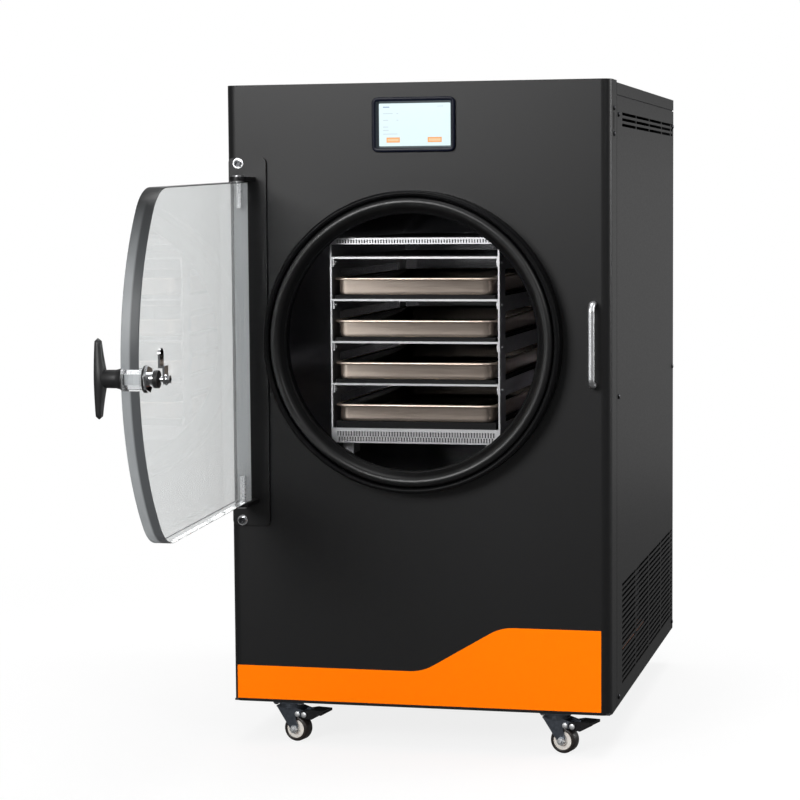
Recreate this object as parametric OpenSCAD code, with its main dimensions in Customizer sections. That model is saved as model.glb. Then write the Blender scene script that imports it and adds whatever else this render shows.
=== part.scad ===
/* [Cabinet] */
// Width of the cabinet
cab_w = 592; // [570:1:700]
// Depth of the cabinet from front face to back face
cab_d = 762; // [700:1:920]
// Height of the cabinet without its casters
cab_h = 950; // [920:1:1150]
// Thickness of the cabinet's sheet steel
sheet_t = 2; // [1.2:0.1:3]
// Radius of the front panel's upright corners
corner_r = 15; // [6:1:20]
// Depth that the front panel turns back at the sides
return_d = 60; // [45:1:80]
// Width of the seams between the panels
seam = 2; // [1:0.5:4]
// Height of the top cover's turned-down edge
cover_drop = 18; // [8:1:30]
// How far the front panel stands above the top cover
front_rise = 3; // [1:0.5:5]

/* [Louvres] */
// Height of one louvre slot
louvre_h = 4.4; // [3:0.1:6]
// Pitch of the louvre rows
louvre_pitch = 8.4; // [7:0.1:10]
// Rows of louvres at the bottom of a side panel
louvre_rows = 19; // [8:1:19]
// Rows of louvres at the top of a side panel
louvre_rows_top = 3; // [1:1:5]
// Slots in one louvre row
louvre_columns = 4; // [2:1:8]
// Web of metal between two slots in a row
louvre_web = 7; // [5:1:20]

/* [Chamber] */
// Sideways place of the chamber's axis
chamber_x = -3; // [-10:1:10]
// Height of the chamber's axis above the cabinet's bottom
chamber_z = 561; // [540:1:580]
// Inner radius of the chamber tube
chamber_r = 203; // [200:1:230]
// Wall of the chamber tube
chamber_wall = 3; // [2:0.5:5]
// How far the chamber tube stands out of the front panel
chamber_nose = 20; // [12:1:24]
// Depth of the chamber behind the front panel
chamber_depth = 545; // [500:1:600]
// Outer diameter of the evaporator pipe
coil_d = 9.5; // [6:0.5:10]
// Thickness of the foam around the coil
foam_t = 26; // [15:1:30]

/* [Gasket] */
// Outer radius of the door gasket
gasket_r = 227.5; // [226:0.5:236]
// How far the gasket's bulb stands out of the front panel
gasket_h = 38; // [34:1:45]
// Radius of the gasket's round bulb
bulb_r = 8; // [6:0.5:8]
// Width of the gasket's outer lip
lip_w = 8.5; // [5:0.5:9]

/* [Rack] */
// Width of the tray rack
rack_w = 262; // [240:1:264]
// Depth of the tray rack
rack_d = 490; // [440:1:500]
// Depth of the rack's front edge behind the front panel's face
rack_in = 2; // [0:0.5:10]
// Height of the rack's lowest edge below the chamber's axis
rack_low = 155; // [145:0.5:156]
// Height of the rack's top above the chamber's axis
rack_high = 156.5; // [150:0.5:160]
// Thickness of the rack's stainless sheet
rack_t = 2.5; // [1.5:0.5:3]
// Thickness of a shelf
shelf_t = 3; // [2:0.5:4]
// Pitch of the shelves
shelf_pitch = 64; // [60:1:66]
// Top of the highest shelf above the chamber's axis
shelf_top = 128; // [126:1:134]
// Height of the perforated front strip under the bottom deck
strip_low_h = 19.5; // [16:0.5:22]
// Height of the perforated front strip at the top
strip_high_h = 9.5; // [8:0.5:12]
// Thickness of a shelf's heating mat
mat_t = 6; // [4:0.5:8]
// Height of the window in the rack's side under each shelf
window_h = 41; // [10:1:42]

/* [Trays] */
// Width of a tray across its rim
tray_w = 252; // [220:1:252]
// Length of a tray
tray_l = 484; // [420:1:486]
// Height of a tray
tray_h = 26.5; // [20:0.5:30]
// Thickness of a tray's sheet
tray_t = 1; // [0.8:0.1:1.5]
// Width of a tray's rim
rim_w = 7; // [4:0.5:10]
// Corner radius of a tray's rim
tray_r = 22; // [15:1:30]

/* [Door] */
// Thickness of the acrylic door
door_t = 25; // [20:1:30]
// Height of the door
door_h = 484; // [480:1:500]
// Free edge of the door, from the chamber's axis
door_reach = 271; // [268:1:274]
// Radius of the door's bowed free side
door_arc_r = 330; // [290:1:420]
// Radius of the door's two rounded corners
door_corner_r = 80; // [40:1:120]
// Hinge edge of the door, from the chamber's axis
door_back = 268; // [265:1:272]
// Angle that the door stands open at
door_open = 88.5; // [0:0.5:150]
// How far the door's free side hangs below its hinge side
door_sag = 12; // [0:0.5:16]
// Distance of the hinge pins from the door's hinge edge
pin_inset = 9; // [8:1:14]
// Diameter of the hinge pins
pin_d = 10; // [8:1:12]
// Thickness of the hinge plate on the front panel
hinge_t = 5; // [4:0.5:8]
// Width of the hinge plate
hinge_w = 59; // [50:1:62]
// Height of the hinge plate
hinge_h = 564; // [555:1:570]
// Height of the hinge plate's centre below the chamber's axis
hinge_drop = 3; // [0:1:6]
// Thickness of the hinge ears
ear_t = 6; // [5:1:12]

/* [Latch] */
// Distance of the latch spindle from the door's free edge
latch_inset = 26; // [22:1:30]
// Height of the latch spindle below the chamber's axis
latch_drop = 18; // [0:1:24]
// Length of the T-handle
handle_l = 107; // [90:1:120]
// Diameter of the latch spindle
spindle_d = 8; // [6:1:10]
// Size across the corners of the hexagonal latch body
latch_body_d = 28; // [24:1:32]
// Reach of the cam from the spindle's axis
cam_l = 41; // [38:1:44]
// Width of the cam
cam_w = 16; // [12:1:20]
// Thickness of the cam
cam_t = 3; // [2:0.5:4]
// Diameter of the keeper rod
keeper_d = 9.5; // [8:0.5:12]
// Length of the keeper rod
keeper_l = 130; // [100:1:160]
// Distance of the keeper rod's axis from the front panel
keeper_out = 24; // [22:1:28]
// Distance of the keeper rod's axis from the chamber's axis
keeper_x = 273; // [269:1:276]
// Height of the keeper rod's centre below the chamber's axis
keeper_drop = 3; // [0:1:12]

/* [Screen] */
// Width of the screen's bezel
screen_w = 128; // [124:1:150]
// Height of the screen's bezel
screen_h = 82; // [78:0.5:100]
// How far the screen's centre lies to the right of the chamber's
screen_right = 1.5; // [0:0.5:10]
// Height of the screen's centre above the cabinet's bottom
screen_z = 887; // [870:1:895]
// Width of the screen's glass
glass_w = 110; // [95:1:110]
// Height of the screen's glass
glass_h = 64; // [55:1:64]
// How far the bezel stands out of the front panel
bezel_t = 5; // [3:0.5:8]
// Depth of the glass behind the bezel's face
glass_in = 11; // [1:0.5:12]

/* [Decal] */
// Height of the colour film at the left
decal_low = 52; // [30:1:70]
// Height of the colour film at the right
decal_high = 124; // [90:1:140]
// Place where the film's top edge starts to rise
decal_rise_x = 6; // [-80:1:60]
// Place where the film's top edge has risen
decal_top_x = 128; // [70:1:180]

/* [Casters] */
// Height of the casters
caster_h = 64; // [60:1:80]
// Diameter of a caster wheel
wheel_d = 40; // [36:1:42]
// Width of a caster wheel
wheel_w = 22; // [18:1:26]
// Distance of the swivel axis from the cabinet's side
caster_side = 86; // [50:1:120]
// Distance of the swivel axis from the cabinet's front and back
caster_end = 28; // [27:1:60]
// Distance of the wheel's axle from the swivel axis
caster_trail = 12; // [10:1:20]
// Direction in which the casters trail
caster_turn = -13; // [-180:1:180]
// Side of a caster's square top plate
caster_plate = 48; // [46:1:52]
// Diameter of a caster's axle bolt
axle_d = 6; // [5:1:8]

/* [Machinery] */
// Diameter of the compressor's shell
compressor_d = 176; // [140:1:190]
// Height of the compressor's shell
compressor_h = 230; // [180:1:240]
// Width of the condenser
condenser_w = 250; // [200:1:260]
// Height of the condenser
condenser_h = 250; // [200:1:260]
// Diameter of the fan
fan_d = 220; // [180:1:230]
// Blades of the fan
fan_blades_n = 5; // [3:1:7]
// Length of the vacuum pump
pump_l = 380; // [300:1:400]

/* [Hidden] */
$fn = 64;
eps = 0.01;
// Small gap between parts that lie against each other
gap = 0.3;
// Radial clearance of pins and shafts that turn
run = 0.05;
half_w = cab_w / 2;
inner_w = cab_w - 2 * sheet_t;
cover_z = cab_h - front_rise;
tube_r = chamber_r + chamber_wall;
coil_steps = 32;
coil_r = (tube_r + gap + coil_d / 2) / cos(180 / coil_steps);
foam_in = coil_r + coil_d / 2 + 0.5;
foam_r = foam_in + foam_t;
foam_y0 = 8;
foam_y1 = chamber_depth + 2;
back_y = cab_d - sheet_t;
// Chassis: square posts and rails, and the deck that carries the chamber
post = 30;
post_t = 2;
pan_t = 3;
rail_z = 268;
bearer_y = [90, 430];
bearer_w = 40;
frame_top = cover_z - sheet_t;
// Front panel openings
hole_r = tube_r + 2;
screen_hole = [screen_w - 12, screen_h - 12];
screen_back = 30;
glass_t = 1;
socket_z = 889;
socket_y = 30;
socket_slot = [6, 26];
socket_screws = 38;
film_t = 0.3;
// Pan-head screw, the same everywhere
screw_d = 4;
head_d = 8;
head_h = 2.6;
// Groove between the gasket's bulb and its outer lip
lip_groove = 1;
// Rack
side_x = rack_w / 2;
rack_y = rack_in;
chamfer_low = 7;
chamfer_high = 10;
deck_z = -rack_low + strip_low_h + shelf_t;
shelf_z = [for (i = [0:3]) shelf_top - i * shelf_pitch];
tray_floor = [for (i = [1:4]) shelf_top - i * shelf_pitch + mat_t];
tray_y = rack_y - 7;
skid_x = 112;
skid_w = 16;
window_end = 45;
slot_w = 2;
slot_pitch = 4.25;
// Door, in its closed place: its inner face just clears the gasket
door_in = gasket_h + gap;
door_out = door_in + door_t;
hinge_x = chamber_x - door_back + pin_inset;
hinge_y = -(door_in + door_t / 2);
door_arc_x = chamber_x + door_reach - door_arc_r;
ear_gap = 1.8;
pin_deep = 40;
pin_head_d = 16;
pin_head_h = 2.5;
hinge_plate_x = -half_w + 5;
hinge_bolt_x = hinge_plate_x + 15.5;
hinge_bolt_z = hinge_h / 2 - 8;
// Latch, on the door
latch_x = chamber_x + door_reach - latch_inset;
seal_t = 2;
flange_y = door_out + seal_t + gap;
latch_z = chamber_z - latch_drop;
hinge_z = chamber_z - hinge_drop;
keeper_z = chamber_z - keeper_drop;
nut_t = 4;
bush_t = 6;
gland_l = 13;
cam_step = 6;
cam_tip_y = -(keeper_out - keeper_d / 2 - 1.3 - cam_t / 2);
cam_hub_y = cam_tip_y + cam_step;
// Casters
caster_x = half_w - caster_side;
caster_spots = [[-caster_x, caster_end], [caster_x, caster_end],
                [-caster_x, cab_d - caster_end], [caster_x, cab_d - caster_end]];
plate_t = 2.5;
race_d = 38;
race_h = 6;
fork_t = 2.5;
fork_top = -(plate_t + race_h + gap);
axle_z = -(caster_h - wheel_d / 2);
fork_in = wheel_w / 2 + 1;
kingpin_d = 8;
caster_hole = caster_plate / 2 - 5;
pedal_pivot = [caster_trail + 19, axle_z + 24.5];
rivet_x = caster_trail + 6.5;
pedal_t = 1.5;
pedal_pin_d = 5;
// Lower compartment
condenser_x = 108;
condenser_y = 610;
condenser_t = 44;
condenser_z = 12;
fan_z = condenser_z + condenser_h / 2;
compressor_spot = [150, 400];
foot_h = 14;
stub_x = 35;
stub_h = 10;
pump_x = -165;
pump_y = 230;
pump_w = 130;
pump_h = 190;
port_h = 22;
hose_z = 248;
pipe_z = 258;
port_x = chamber_x - 90;
port_z = chamber_z - 60;
port_d = 30;
port_l = 34;
inlet_spot = [-200, 60];
inlet_size = [48, 28];
rocker_size = [21, 15];
rocker_z = 34;
drain_spot = [-40, 50];
drain_pipe_d = 12;

// ---- Helpers: the cabinet's own frame has its front face at y = 0 and its bottom at z = 0

module in_cabinet() {
    translate([0, -cab_d / 2, caster_h]) children();
}

module at_chamber() {
    in_cabinet() translate([chamber_x, 0, chamber_z]) children();
}

// Stands a shape drawn along +Z along +Y, into the cabinet
module along_y() {
    rotate([-90, 0, 0]) children();
}

// Stands a shape drawn along +Z along -Y, out of the front
module along_front() {
    rotate([90, 0, 0]) children();
}

// Takes a flat shape in x and z and gives it a thickness from y0 to y1
module slab_y(y0, y1) {
    translate([0, y1, 0]) rotate([90, 0, 0]) linear_extrude(y1 - y0) children();
}

module block(x, y, z) {
    translate([x[0], y[0], z[0]]) cube([x[1] - x[0], y[1] - y[0], z[1] - z[0]]);
}

module rounded(w, h, r) {
    for (sx = [-1, 1], sy = [-1, 1])
        translate([sx * (w / 2 - r), sy * (h / 2 - r)]) circle(r);
    square([w - 2 * r, h], center = true);
    square([w, h - 2 * r], center = true);
}

module on_door() {
    translate([hinge_x, hinge_y, 0]) rotate([0, 0, -door_open])
        translate([-hinge_x, -hinge_y, 0]) children();
}

// A pan-head screw: its shank runs along -Z from the head's seat at z = 0
module pan_screw(l) {
    cylinder(d = head_d, h = head_h * 0.6);
    translate([0, 0, head_h * 0.6 - eps]) cylinder(d1 = head_d, d2 = head_d * 0.6, h = head_h * 0.4);
    translate([0, 0, -l]) cylinder(d = screw_d, h = l + eps);
}

function unit(v) = v / norm(v);
function between(a, b, t) = a + (b - a) * t;
function bend(a, c, b, r, n) =
    let(p = c + unit(a - c) * r, q = c + unit(b - c) * r)
    [for (i = [0:n]) let(t = i / n) between(between(p, c, t), between(c, q, t), t)];
function route(p, r, n = 5) = concat([p[0]],
    [for (i = [1:len(p) - 2]) each bend(p[i - 1], p[i], p[i + 1], r, n)], [p[len(p) - 1]]);
function heading(p, i) = unit(p[min(i + 1, len(p) - 1)] - p[max(i - 1, 0)]);
function carried(p, i, n) = i >= len(p) ? [] :
    let(t = heading(p, i), m = unit(n - t * (n * t))) concat([m], carried(p, i + 1, m));

// A round pipe swept along a list of points
module pipe(p, d, sides = 8) {
    t0 = heading(p, 0);
    side = carried(p, 0, abs(t0[2]) < 0.9 ? [0, 0, 1] : [1, 0, 0]);
    last = len(p) - 1;
    points = [for (i = [0:last]) let(n = side[i], b = cross(heading(p, i), n))
        for (k = [0:sides - 1]) p[i] + d / 2 * (cos(360 * k / sides) * n + sin(360 * k / sides) * b)];
    walls = [for (i = [0:last - 1], k = [0:sides - 1]) let(j = (k + 1) % sides)
        [i * sides + k, (i + 1) * sides + k, (i + 1) * sides + j, i * sides + j]];
    first_cap = [[for (k = [0:sides - 1]) k]];
    last_cap = [[for (k = [sides - 1:-1:0]) last * sides + k]];
    polyhedron(points, concat(first_cap, walls, last_cap), convexity = 8);
}

// ---- Cabinet

module chassis_frame() {
    color("dimgray") in_cabinet() difference() {
        union() {
            block([-inner_w / 2, inner_w / 2], [sheet_t, back_y], [0, pan_t]);
            for (sx = [-1, 1], y = [return_d + seam, back_y - post])
                mirror([sx < 0 ? 1 : 0, 0, 0])
                    square_tube_z(inner_w / 2 - post, y, pan_t - eps, frame_top);
            for (sx = [-1, 1], z = [rail_z, frame_top - post])
                mirror([sx < 0 ? 1 : 0, 0, 0])
                    block([inner_w / 2 - post, inner_w / 2],
                        [return_d + seam + post - eps, back_y - post + eps], [z, z + post_t]);
            for (sx = [-1, 1], z = [rail_z, frame_top - post])
                mirror([sx < 0 ? 1 : 0, 0, 0])
                    block([inner_w / 2 - post_t, inner_w / 2],
                        [return_d + seam + post - eps, back_y - post + eps], [z, z + post]);
            for (y = bearer_y)
                block([-inner_w / 2 + post_t - eps, inner_w / 2 - post_t + eps],
                    [y, y + bearer_w], [rail_z + post_t - eps, rail_z + 80]);
            block([-inner_w / 2 + post - eps, inner_w / 2 - post + eps],
                [back_y - post_t, back_y], [frame_top - post, frame_top]);
            block([-inner_w / 2 + post - eps, inner_w / 2 - post + eps],
                [return_d + seam, return_d + seam + post_t], [frame_top - post, frame_top]);
        }
        translate([chamber_x, 0, chamber_z]) along_y() cylinder(r = foam_r + gap, h = cab_d, $fn = 128);
        for (spot = caster_spots) translate([spot[0], spot[1], -1])
            for (sx = [-1, 1], sy = [-1, 1])
                translate([sx * caster_hole, sy * caster_hole, 0]) cylinder(d = screw_d + 0.4, h = pan_t + 2);
    }
}

// Square tube upright with its corner at x, y
module square_tube_z(x, y, z0, z1) {
    difference() {
        block([x, x + post], [y, y + post], [z0, z1]);
        block([x + post_t, x + post - post_t], [y + post_t, y + post - post_t], [z0 - 1, z1 + 1]);
    }
}

module front_outline(inset) {
    r = corner_r - inset;
    w = half_w - inset;
    for (sx = [-1, 1]) translate([sx * (w - r), r + inset]) circle(r);
    translate([-w + r, inset]) square([2 * (w - r), return_d - inset]);
    translate([-w, r + inset]) square([2 * w, return_d - r - inset]);
}

module front_panel() {
    color("dimgray") in_cabinet() difference() {
        linear_extrude(cab_h) front_outline(0);
        translate([0, 0, sheet_t]) linear_extrude(cab_h - 2 * sheet_t) {
            front_outline(sheet_t);
            translate([-inner_w / 2, return_d - eps]) square([inner_w, 2]);
        }
        // The bottom flange leaves room for the chassis pan
        translate([0, 0, -1]) linear_extrude(sheet_t + 2)
            translate([-inner_w / 2, sheet_t]) square([inner_w, return_d]);
        translate([chamber_x, -1, chamber_z]) along_y() cylinder(r = hole_r, h = sheet_t + 2, $fn = 128);
        translate([chamber_x + screen_right, 0, screen_z])
            slab_y(-1, sheet_t + 1) square(screen_hole, center = true);
        for (sz = [-1, 1]) {
            translate([chamber_x + keeper_x, -1, keeper_z + sz * keeper_foot]) along_y()
                cylinder(d = keeper_stud_d + 0.4, h = sheet_t + 2);
            translate([hinge_bolt_x, -1, hinge_z + sz * hinge_bolt_z]) along_y()
                cylinder(d = hinge_bolt_d + 0.4, h = sheet_t + 2);
            translate([half_w - sheet_t - 1, socket_y, socket_z + sz * socket_screws / 2])
                rotate([0, 90, 0]) cylinder(d = screw_d + 0.2, h = sheet_t + 2);
        }
        block([half_w - sheet_t - 1, half_w + 1],
            [socket_y - socket_slot[0] / 2, socket_y + socket_slot[0] / 2],
            [socket_z - socket_slot[1] / 2, socket_z + socket_slot[1] / 2]);
    }
}

// The colour film: low at the left, rising along a slope to its full height at the right
module front_decal() {
    x0 = -half_w + 7.5;
    x1 = half_w - 15;
    z0 = 4.5;
    edge = concat([[x0, z0]], [[x0, z0 + decal_low]],
        bend([x0, z0 + decal_low], [decal_rise_x, z0 + decal_low], [decal_top_x, z0 + decal_high], 20, 6),
        bend([decal_rise_x, z0 + decal_low], [decal_top_x, z0 + decal_high], [x1, z0 + decal_high], 20, 6),
        [[x1, z0 + decal_high]], [[x1, z0]]);
    color("darkorange") in_cabinet() slab_y(-film_t, 0) polygon(edge);
}

// A plastic insert behind the front panel's service slot
module service_port() {
    color("#101012") in_cabinet() difference() {
        block([half_w - sheet_t - 14, half_w - sheet_t], [socket_y - 7, socket_y + 7],
            [socket_z - 26, socket_z + 26]);
        block([half_w - sheet_t - 8, half_w], [socket_y - socket_slot[0] / 2, socket_y + socket_slot[0] / 2],
            [socket_z - socket_slot[1] / 2, socket_z + socket_slot[1] / 2]);
        for (sz = [-1, 1]) translate([half_w - sheet_t - 8, socket_y, socket_z + sz * socket_screws / 2])
            rotate([0, 90, 0]) cylinder(d = screw_d + 0.1, h = 20);
    }
}

// One side panel, for the right side
module side_panel() {
    y0 = return_d + seam;
    z1 = cover_z - cover_drop - seam;
    row_y0 = y0 + 56;
    row_l = back_y - 14 - row_y0;
    slot_l = (row_l - (louvre_columns - 1) * louvre_web) / louvre_columns;
    low_z = 26;
    high_z = z1 - 44;
    difference() {
        block([inner_w / 2, half_w], [y0, cab_d], [0, z1]);
        for (c = [0:louvre_columns - 1]) translate([0, row_y0 + c * (slot_l + louvre_web), 0]) {
            for (i = [0:louvre_rows - 1]) translate([inner_w / 2 - 1, 0, low_z + i * louvre_pitch])
                cube([sheet_t + 2, slot_l, louvre_h]);
            for (i = [0:louvre_rows_top - 1]) translate([inner_w / 2 - 1, 0, high_z + i * louvre_pitch])
                cube([sheet_t + 2, slot_l, louvre_h]);
        }
        for (y = side_screw_y, z = side_screw_z) translate([inner_w / 2 - 1, y, z])
            rotate([0, 90, 0]) cylinder(d = screw_d + 0.4, h = sheet_t + 2);
    }
}

side_screw_y = [return_d + seam + post / 2, back_y - post / 2];
side_screw_z = [14, cab_h / 2, cab_h - 50];

module side_panel_right() {
    color("dimgray") in_cabinet() side_panel();
}

module side_panel_left() {
    color("dimgray") in_cabinet() mirror([1, 0, 0]) side_panel();
}

module top_cover() {
    y0 = return_d + seam;
    color("dimgray") in_cabinet() {
        block([-half_w, half_w], [y0, cab_d], [cover_z - sheet_t, cover_z]);
        for (sx = [-1, 1]) mirror([sx < 0 ? 1 : 0, 0, 0])
            block([inner_w / 2, half_w], [y0, cab_d], [cover_z - cover_drop, cover_z - sheet_t + eps]);
        block([-inner_w / 2 - eps, inner_w / 2 + eps], [back_y, cab_d],
            [cover_z - cover_drop, cover_z - sheet_t + eps]);
    }
}

module back_panel() {
    z1 = cover_z - cover_drop - seam;
    color("dimgray") in_cabinet() difference() {
        block([-inner_w / 2, inner_w / 2], [back_y, cab_d], [pan_t, z1]);
        // Fan outlet: slots across a round field
        for (i = [-9:9]) let(half = sqrt(pow(fan_d / 2 - 2, 2) - pow(i * 11, 2)))
            translate([condenser_x - half, back_y - 1, fan_z + i * 11 - 3]) cube([2 * half, sheet_t + 2, 6]);
        for (i = [0:3]) for (sx = [-1, 1])
            translate([sx * 130 - 100, back_y - 1, z1 - 60 - i * 14]) cube([200, sheet_t + 2, 5]);
        translate([inlet_spot[0], 0, inlet_spot[1]]) slab_y(back_y - 1, cab_d + 1)
            square(inlet_size, center = true);
        translate([inlet_spot[0], 0, inlet_spot[1] + rocker_z]) slab_y(back_y - 1, cab_d + 1)
            square(rocker_size + [4, 4], center = true);
        translate([drain_spot[0], back_y - 1, drain_spot[1]]) along_y()
            cylinder(d = drain_pipe_d + 8.6, h = sheet_t + 2);
        for (sx = [-1, 1], z = side_screw_z)
            translate([sx * (inner_w / 2 - post / 2), back_y - 1, z]) along_y()
                cylinder(d = screw_d + 0.4, h = sheet_t + 2);
    }
}

rack_screw_y = [rack_y + 14, rack_y + rack_d - 20];
rack_screw_z = [for (z = shelf_z) z - shelf_t - 6];

module pan_head_screws() {
    color("silver") {
        in_cabinet() {
            // Side and back panels on the chassis posts
            for (sx = [-1, 1]) mirror([sx < 0 ? 1 : 0, 0, 0])
                for (z = side_screw_z) {
                    for (y = side_screw_y) translate([half_w, y, z]) rotate([0, 90, 0]) pan_screw(sheet_t);
                    translate([inner_w / 2 - post / 2, cab_d, z]) along_y() pan_screw(sheet_t);
                }
            // Service socket on the front panel's right return
            for (sz = [-1, 1]) translate([half_w, socket_y, socket_z + sz * socket_screws / 2])
                rotate([0, 90, 0]) pan_screw(sheet_t + 4);
            // Caster plates on the pan
            for (spot = caster_spots) translate([spot[0], spot[1], -plate_t])
                for (sx = [-1, 1], sy = [-1, 1]) translate([sx * caster_hole, sy * caster_hole, 0])
                    rotate([180, 0, 0]) pan_screw(plate_t + pan_t + 2);
        }
        // Shelf flanges in the rack
        at_chamber() for (sx = [-1, 1]) mirror([sx < 0 ? 1 : 0, 0, 0])
            for (y = rack_screw_y, z = rack_screw_z)
                translate([side_x - 2 * rack_t, y, z]) rotate([0, -90, 0]) pan_screw(2 * rack_t + 2);
    }
}

// ---- Chamber

module chamber() {
    color("silver") at_chamber() difference() {
        union() {
            translate([0, -chamber_nose, 0]) along_y()
                cylinder(r = tube_r, h = chamber_nose + chamber_depth, $fn = 128);
            translate([0, chamber_depth - eps, 0]) along_y() cylinder(r = tube_r, h = 6, $fn = 128);
            translate([port_x - chamber_x, chamber_depth, port_z - chamber_z]) along_y()
                cylinder(d = port_d, h = port_l);
            translate([0, chamber_depth - 40, 0]) rotate([180, 0, 0])
                cylinder(d = drain_pipe_d, h = tube_r + 44);
        }
        translate([0, -chamber_nose - 1, 0]) along_y()
            cylinder(r = chamber_r, h = chamber_nose + chamber_depth + 1, $fn = 128);
        translate([port_x - chamber_x, chamber_depth - 1, port_z - chamber_z]) along_y()
            cylinder(d = port_d - 4, h = port_l + 2);
        translate([0, chamber_depth - 40, -chamber_r + 5]) rotate([180, 0, 0])
            cylinder(d = drain_pipe_d - 3, h = 60);
    }
}

module chamber_insulation() {
    color("#2a2a2c") at_chamber() difference() {
        along_y() rotate_extrude($fn = 128) translate([tube_r + gap, foam_y0]) difference() {
            square([foam_r - tube_r - gap, foam_y1 - foam_y0]);
            translate([-1, 12]) square([foam_in - tube_r - gap + 1, foam_y1 - foam_y0 - 24]);
        }
        // Drain and the two coil ends pass through the foam
        translate([0, chamber_depth - 40, -foam_r - 1]) cylinder(d = drain_pipe_d + 4, h = 80);
        for (end = [[coil_r, coil_y0], [-coil_r, coil_y1]]) translate([end[0], end[1], -foam_r - 1])
            cylinder(d = coil_d + 3, h = foam_r + 1);
    }
}

coil_y0 = 60;
coil_y1 = 485;
coil_turns = 6.5;
coil_pitch_y = (coil_y1 - coil_y0) / coil_turns;

// The coil starts at the chamber's right side and ends at its left; both ends run straight down
module evaporator_coil() {
    helix = [for (i = [0:coil_turns * coil_steps]) let(a = 360 * i / coil_steps)
        [coil_r * cos(a), coil_y0 + coil_pitch_y * i / coil_steps, coil_r * sin(a)]];
    down = foam_r - 60;
    color("peru") at_chamber() pipe(concat(
        [[coil_r, coil_y0, -down], [coil_r, coil_y0, -down / 2]], helix,
        [[-coil_r, coil_y1, -down / 2], [-coil_r, coil_y1, -down]]), coil_d, 6);
}

module gasket_section() {
    bulb_x = gasket_r - lip_w - lip_groove - bulb_r;
    inner_x = chamber_r - 4;
    rim = chamber_nose + gap;
    lip_top = gasket_h - lip_w / 2 - 1;
    mouth_r = 3;
    mouth = [chamber_r - 10 + mouth_r, rim + 1 + mouth_r];
    difference() {
        union() {
            translate([bulb_x, gasket_h - bulb_r]) circle(bulb_r, $fn = 48);
            translate([tube_r + gap, 0]) square([gasket_r - tube_r - gap, lip_top - 9]);
            // The bulb's inner flank slopes down to the mouth, which overhangs the tube's edge
            polygon([[tube_r + gap, 0], [bulb_x + bulb_r, 0], [bulb_x + bulb_r, gasket_h - bulb_r],
                [bulb_x - bulb_r * 0.7, gasket_h - bulb_r * 0.3],
                mouth + [0, mouth_r], mouth, mouth - [0, mouth_r],
                [tube_r + gap, rim]]);
            translate(mouth) circle(mouth_r, $fn = 32);
            translate([inner_x, -10]) square([chamber_r - gap - inner_x, rim + 15]);
            translate([gasket_r - lip_w, 0]) square([lip_w, lip_top]);
            translate([gasket_r - lip_w / 2, lip_top]) circle(lip_w / 2, $fn = 32);
        }
        translate([chamber_r - gap, -13]) square([chamber_wall + 2 * gap, 13 + rim]);
    }
}

module door_gasket() {
    color("#1c1c1e") at_chamber() along_front() rotate_extrude($fn = 128) gasket_section();
}

// ---- Rack, drawn from the chamber's axis

module rack_sides() {
    z0 = -rack_low + chamfer_low;
    z1 = rack_high - chamfer_high;
    color("silver") at_chamber() for (sx = [-1, 1]) mirror([sx < 0 ? 1 : 0, 0, 0]) difference() {
        block([side_x - rack_t, side_x], [rack_y, rack_y + rack_d], [z0, z1]);
        for (y = rack_screw_y, z = rack_screw_z) translate([side_x - rack_t - 1, y, z])
            rotate([0, 90, 0]) cylinder(d = screw_d + 0.2, h = rack_t + 2);
        // A window beside each tray
        for (z = shelf_z) block([side_x - rack_t - 1, side_x + 1],
            [rack_y + window_end, rack_y + rack_d - window_end],
            [z - shelf_pitch + shelf_t, z - shelf_pitch + shelf_t + window_h]);
    }
}

// The rack's outline between the side plates and its highest or lowest face
module rack_cap_outline(chamfer) {
    polygon([[-side_x, 0], [-side_x + chamfer, chamfer], [side_x - chamfer, chamfer], [side_x, 0],
        [side_x - rack_t * 1.5, 0], [side_x - chamfer - rack_t / 2, chamfer - rack_t],
        [-side_x + chamfer + rack_t / 2, chamfer - rack_t], [-side_x + rack_t * 1.5, 0]]);
}

// Upright slots across a strip of the given half width; shift moves the row by that part of the pitch
module strip_slots(half, shift, h, z) {
    n = floor((half - slot_w) / slot_pitch);
    for (i = [-n:n - 2 * shift]) translate([(i + shift) * slot_pitch - slot_w / 2, z]) square([slot_w, h]);
}

module rack_top() {
    z0 = rack_high - chamfer_high;
    color("silver") at_chamber() {
        translate([0, 0, z0]) slab_y(rack_y, rack_y + rack_d) rack_cap_outline(chamfer_high);
        slab_y(rack_y, rack_y + rack_t) difference() {
            polygon([[-side_x + chamfer_high - strip_high_h, rack_high - strip_high_h],
                [-side_x + chamfer_high - 1, rack_high - 1], [side_x - chamfer_high + 1, rack_high - 1],
                [side_x - chamfer_high + strip_high_h, rack_high - strip_high_h]]);
            strip_slots(side_x - chamfer_high, 0, strip_high_h - 3.6, rack_high - strip_high_h + 1.8);
        }
    }
}

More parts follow.
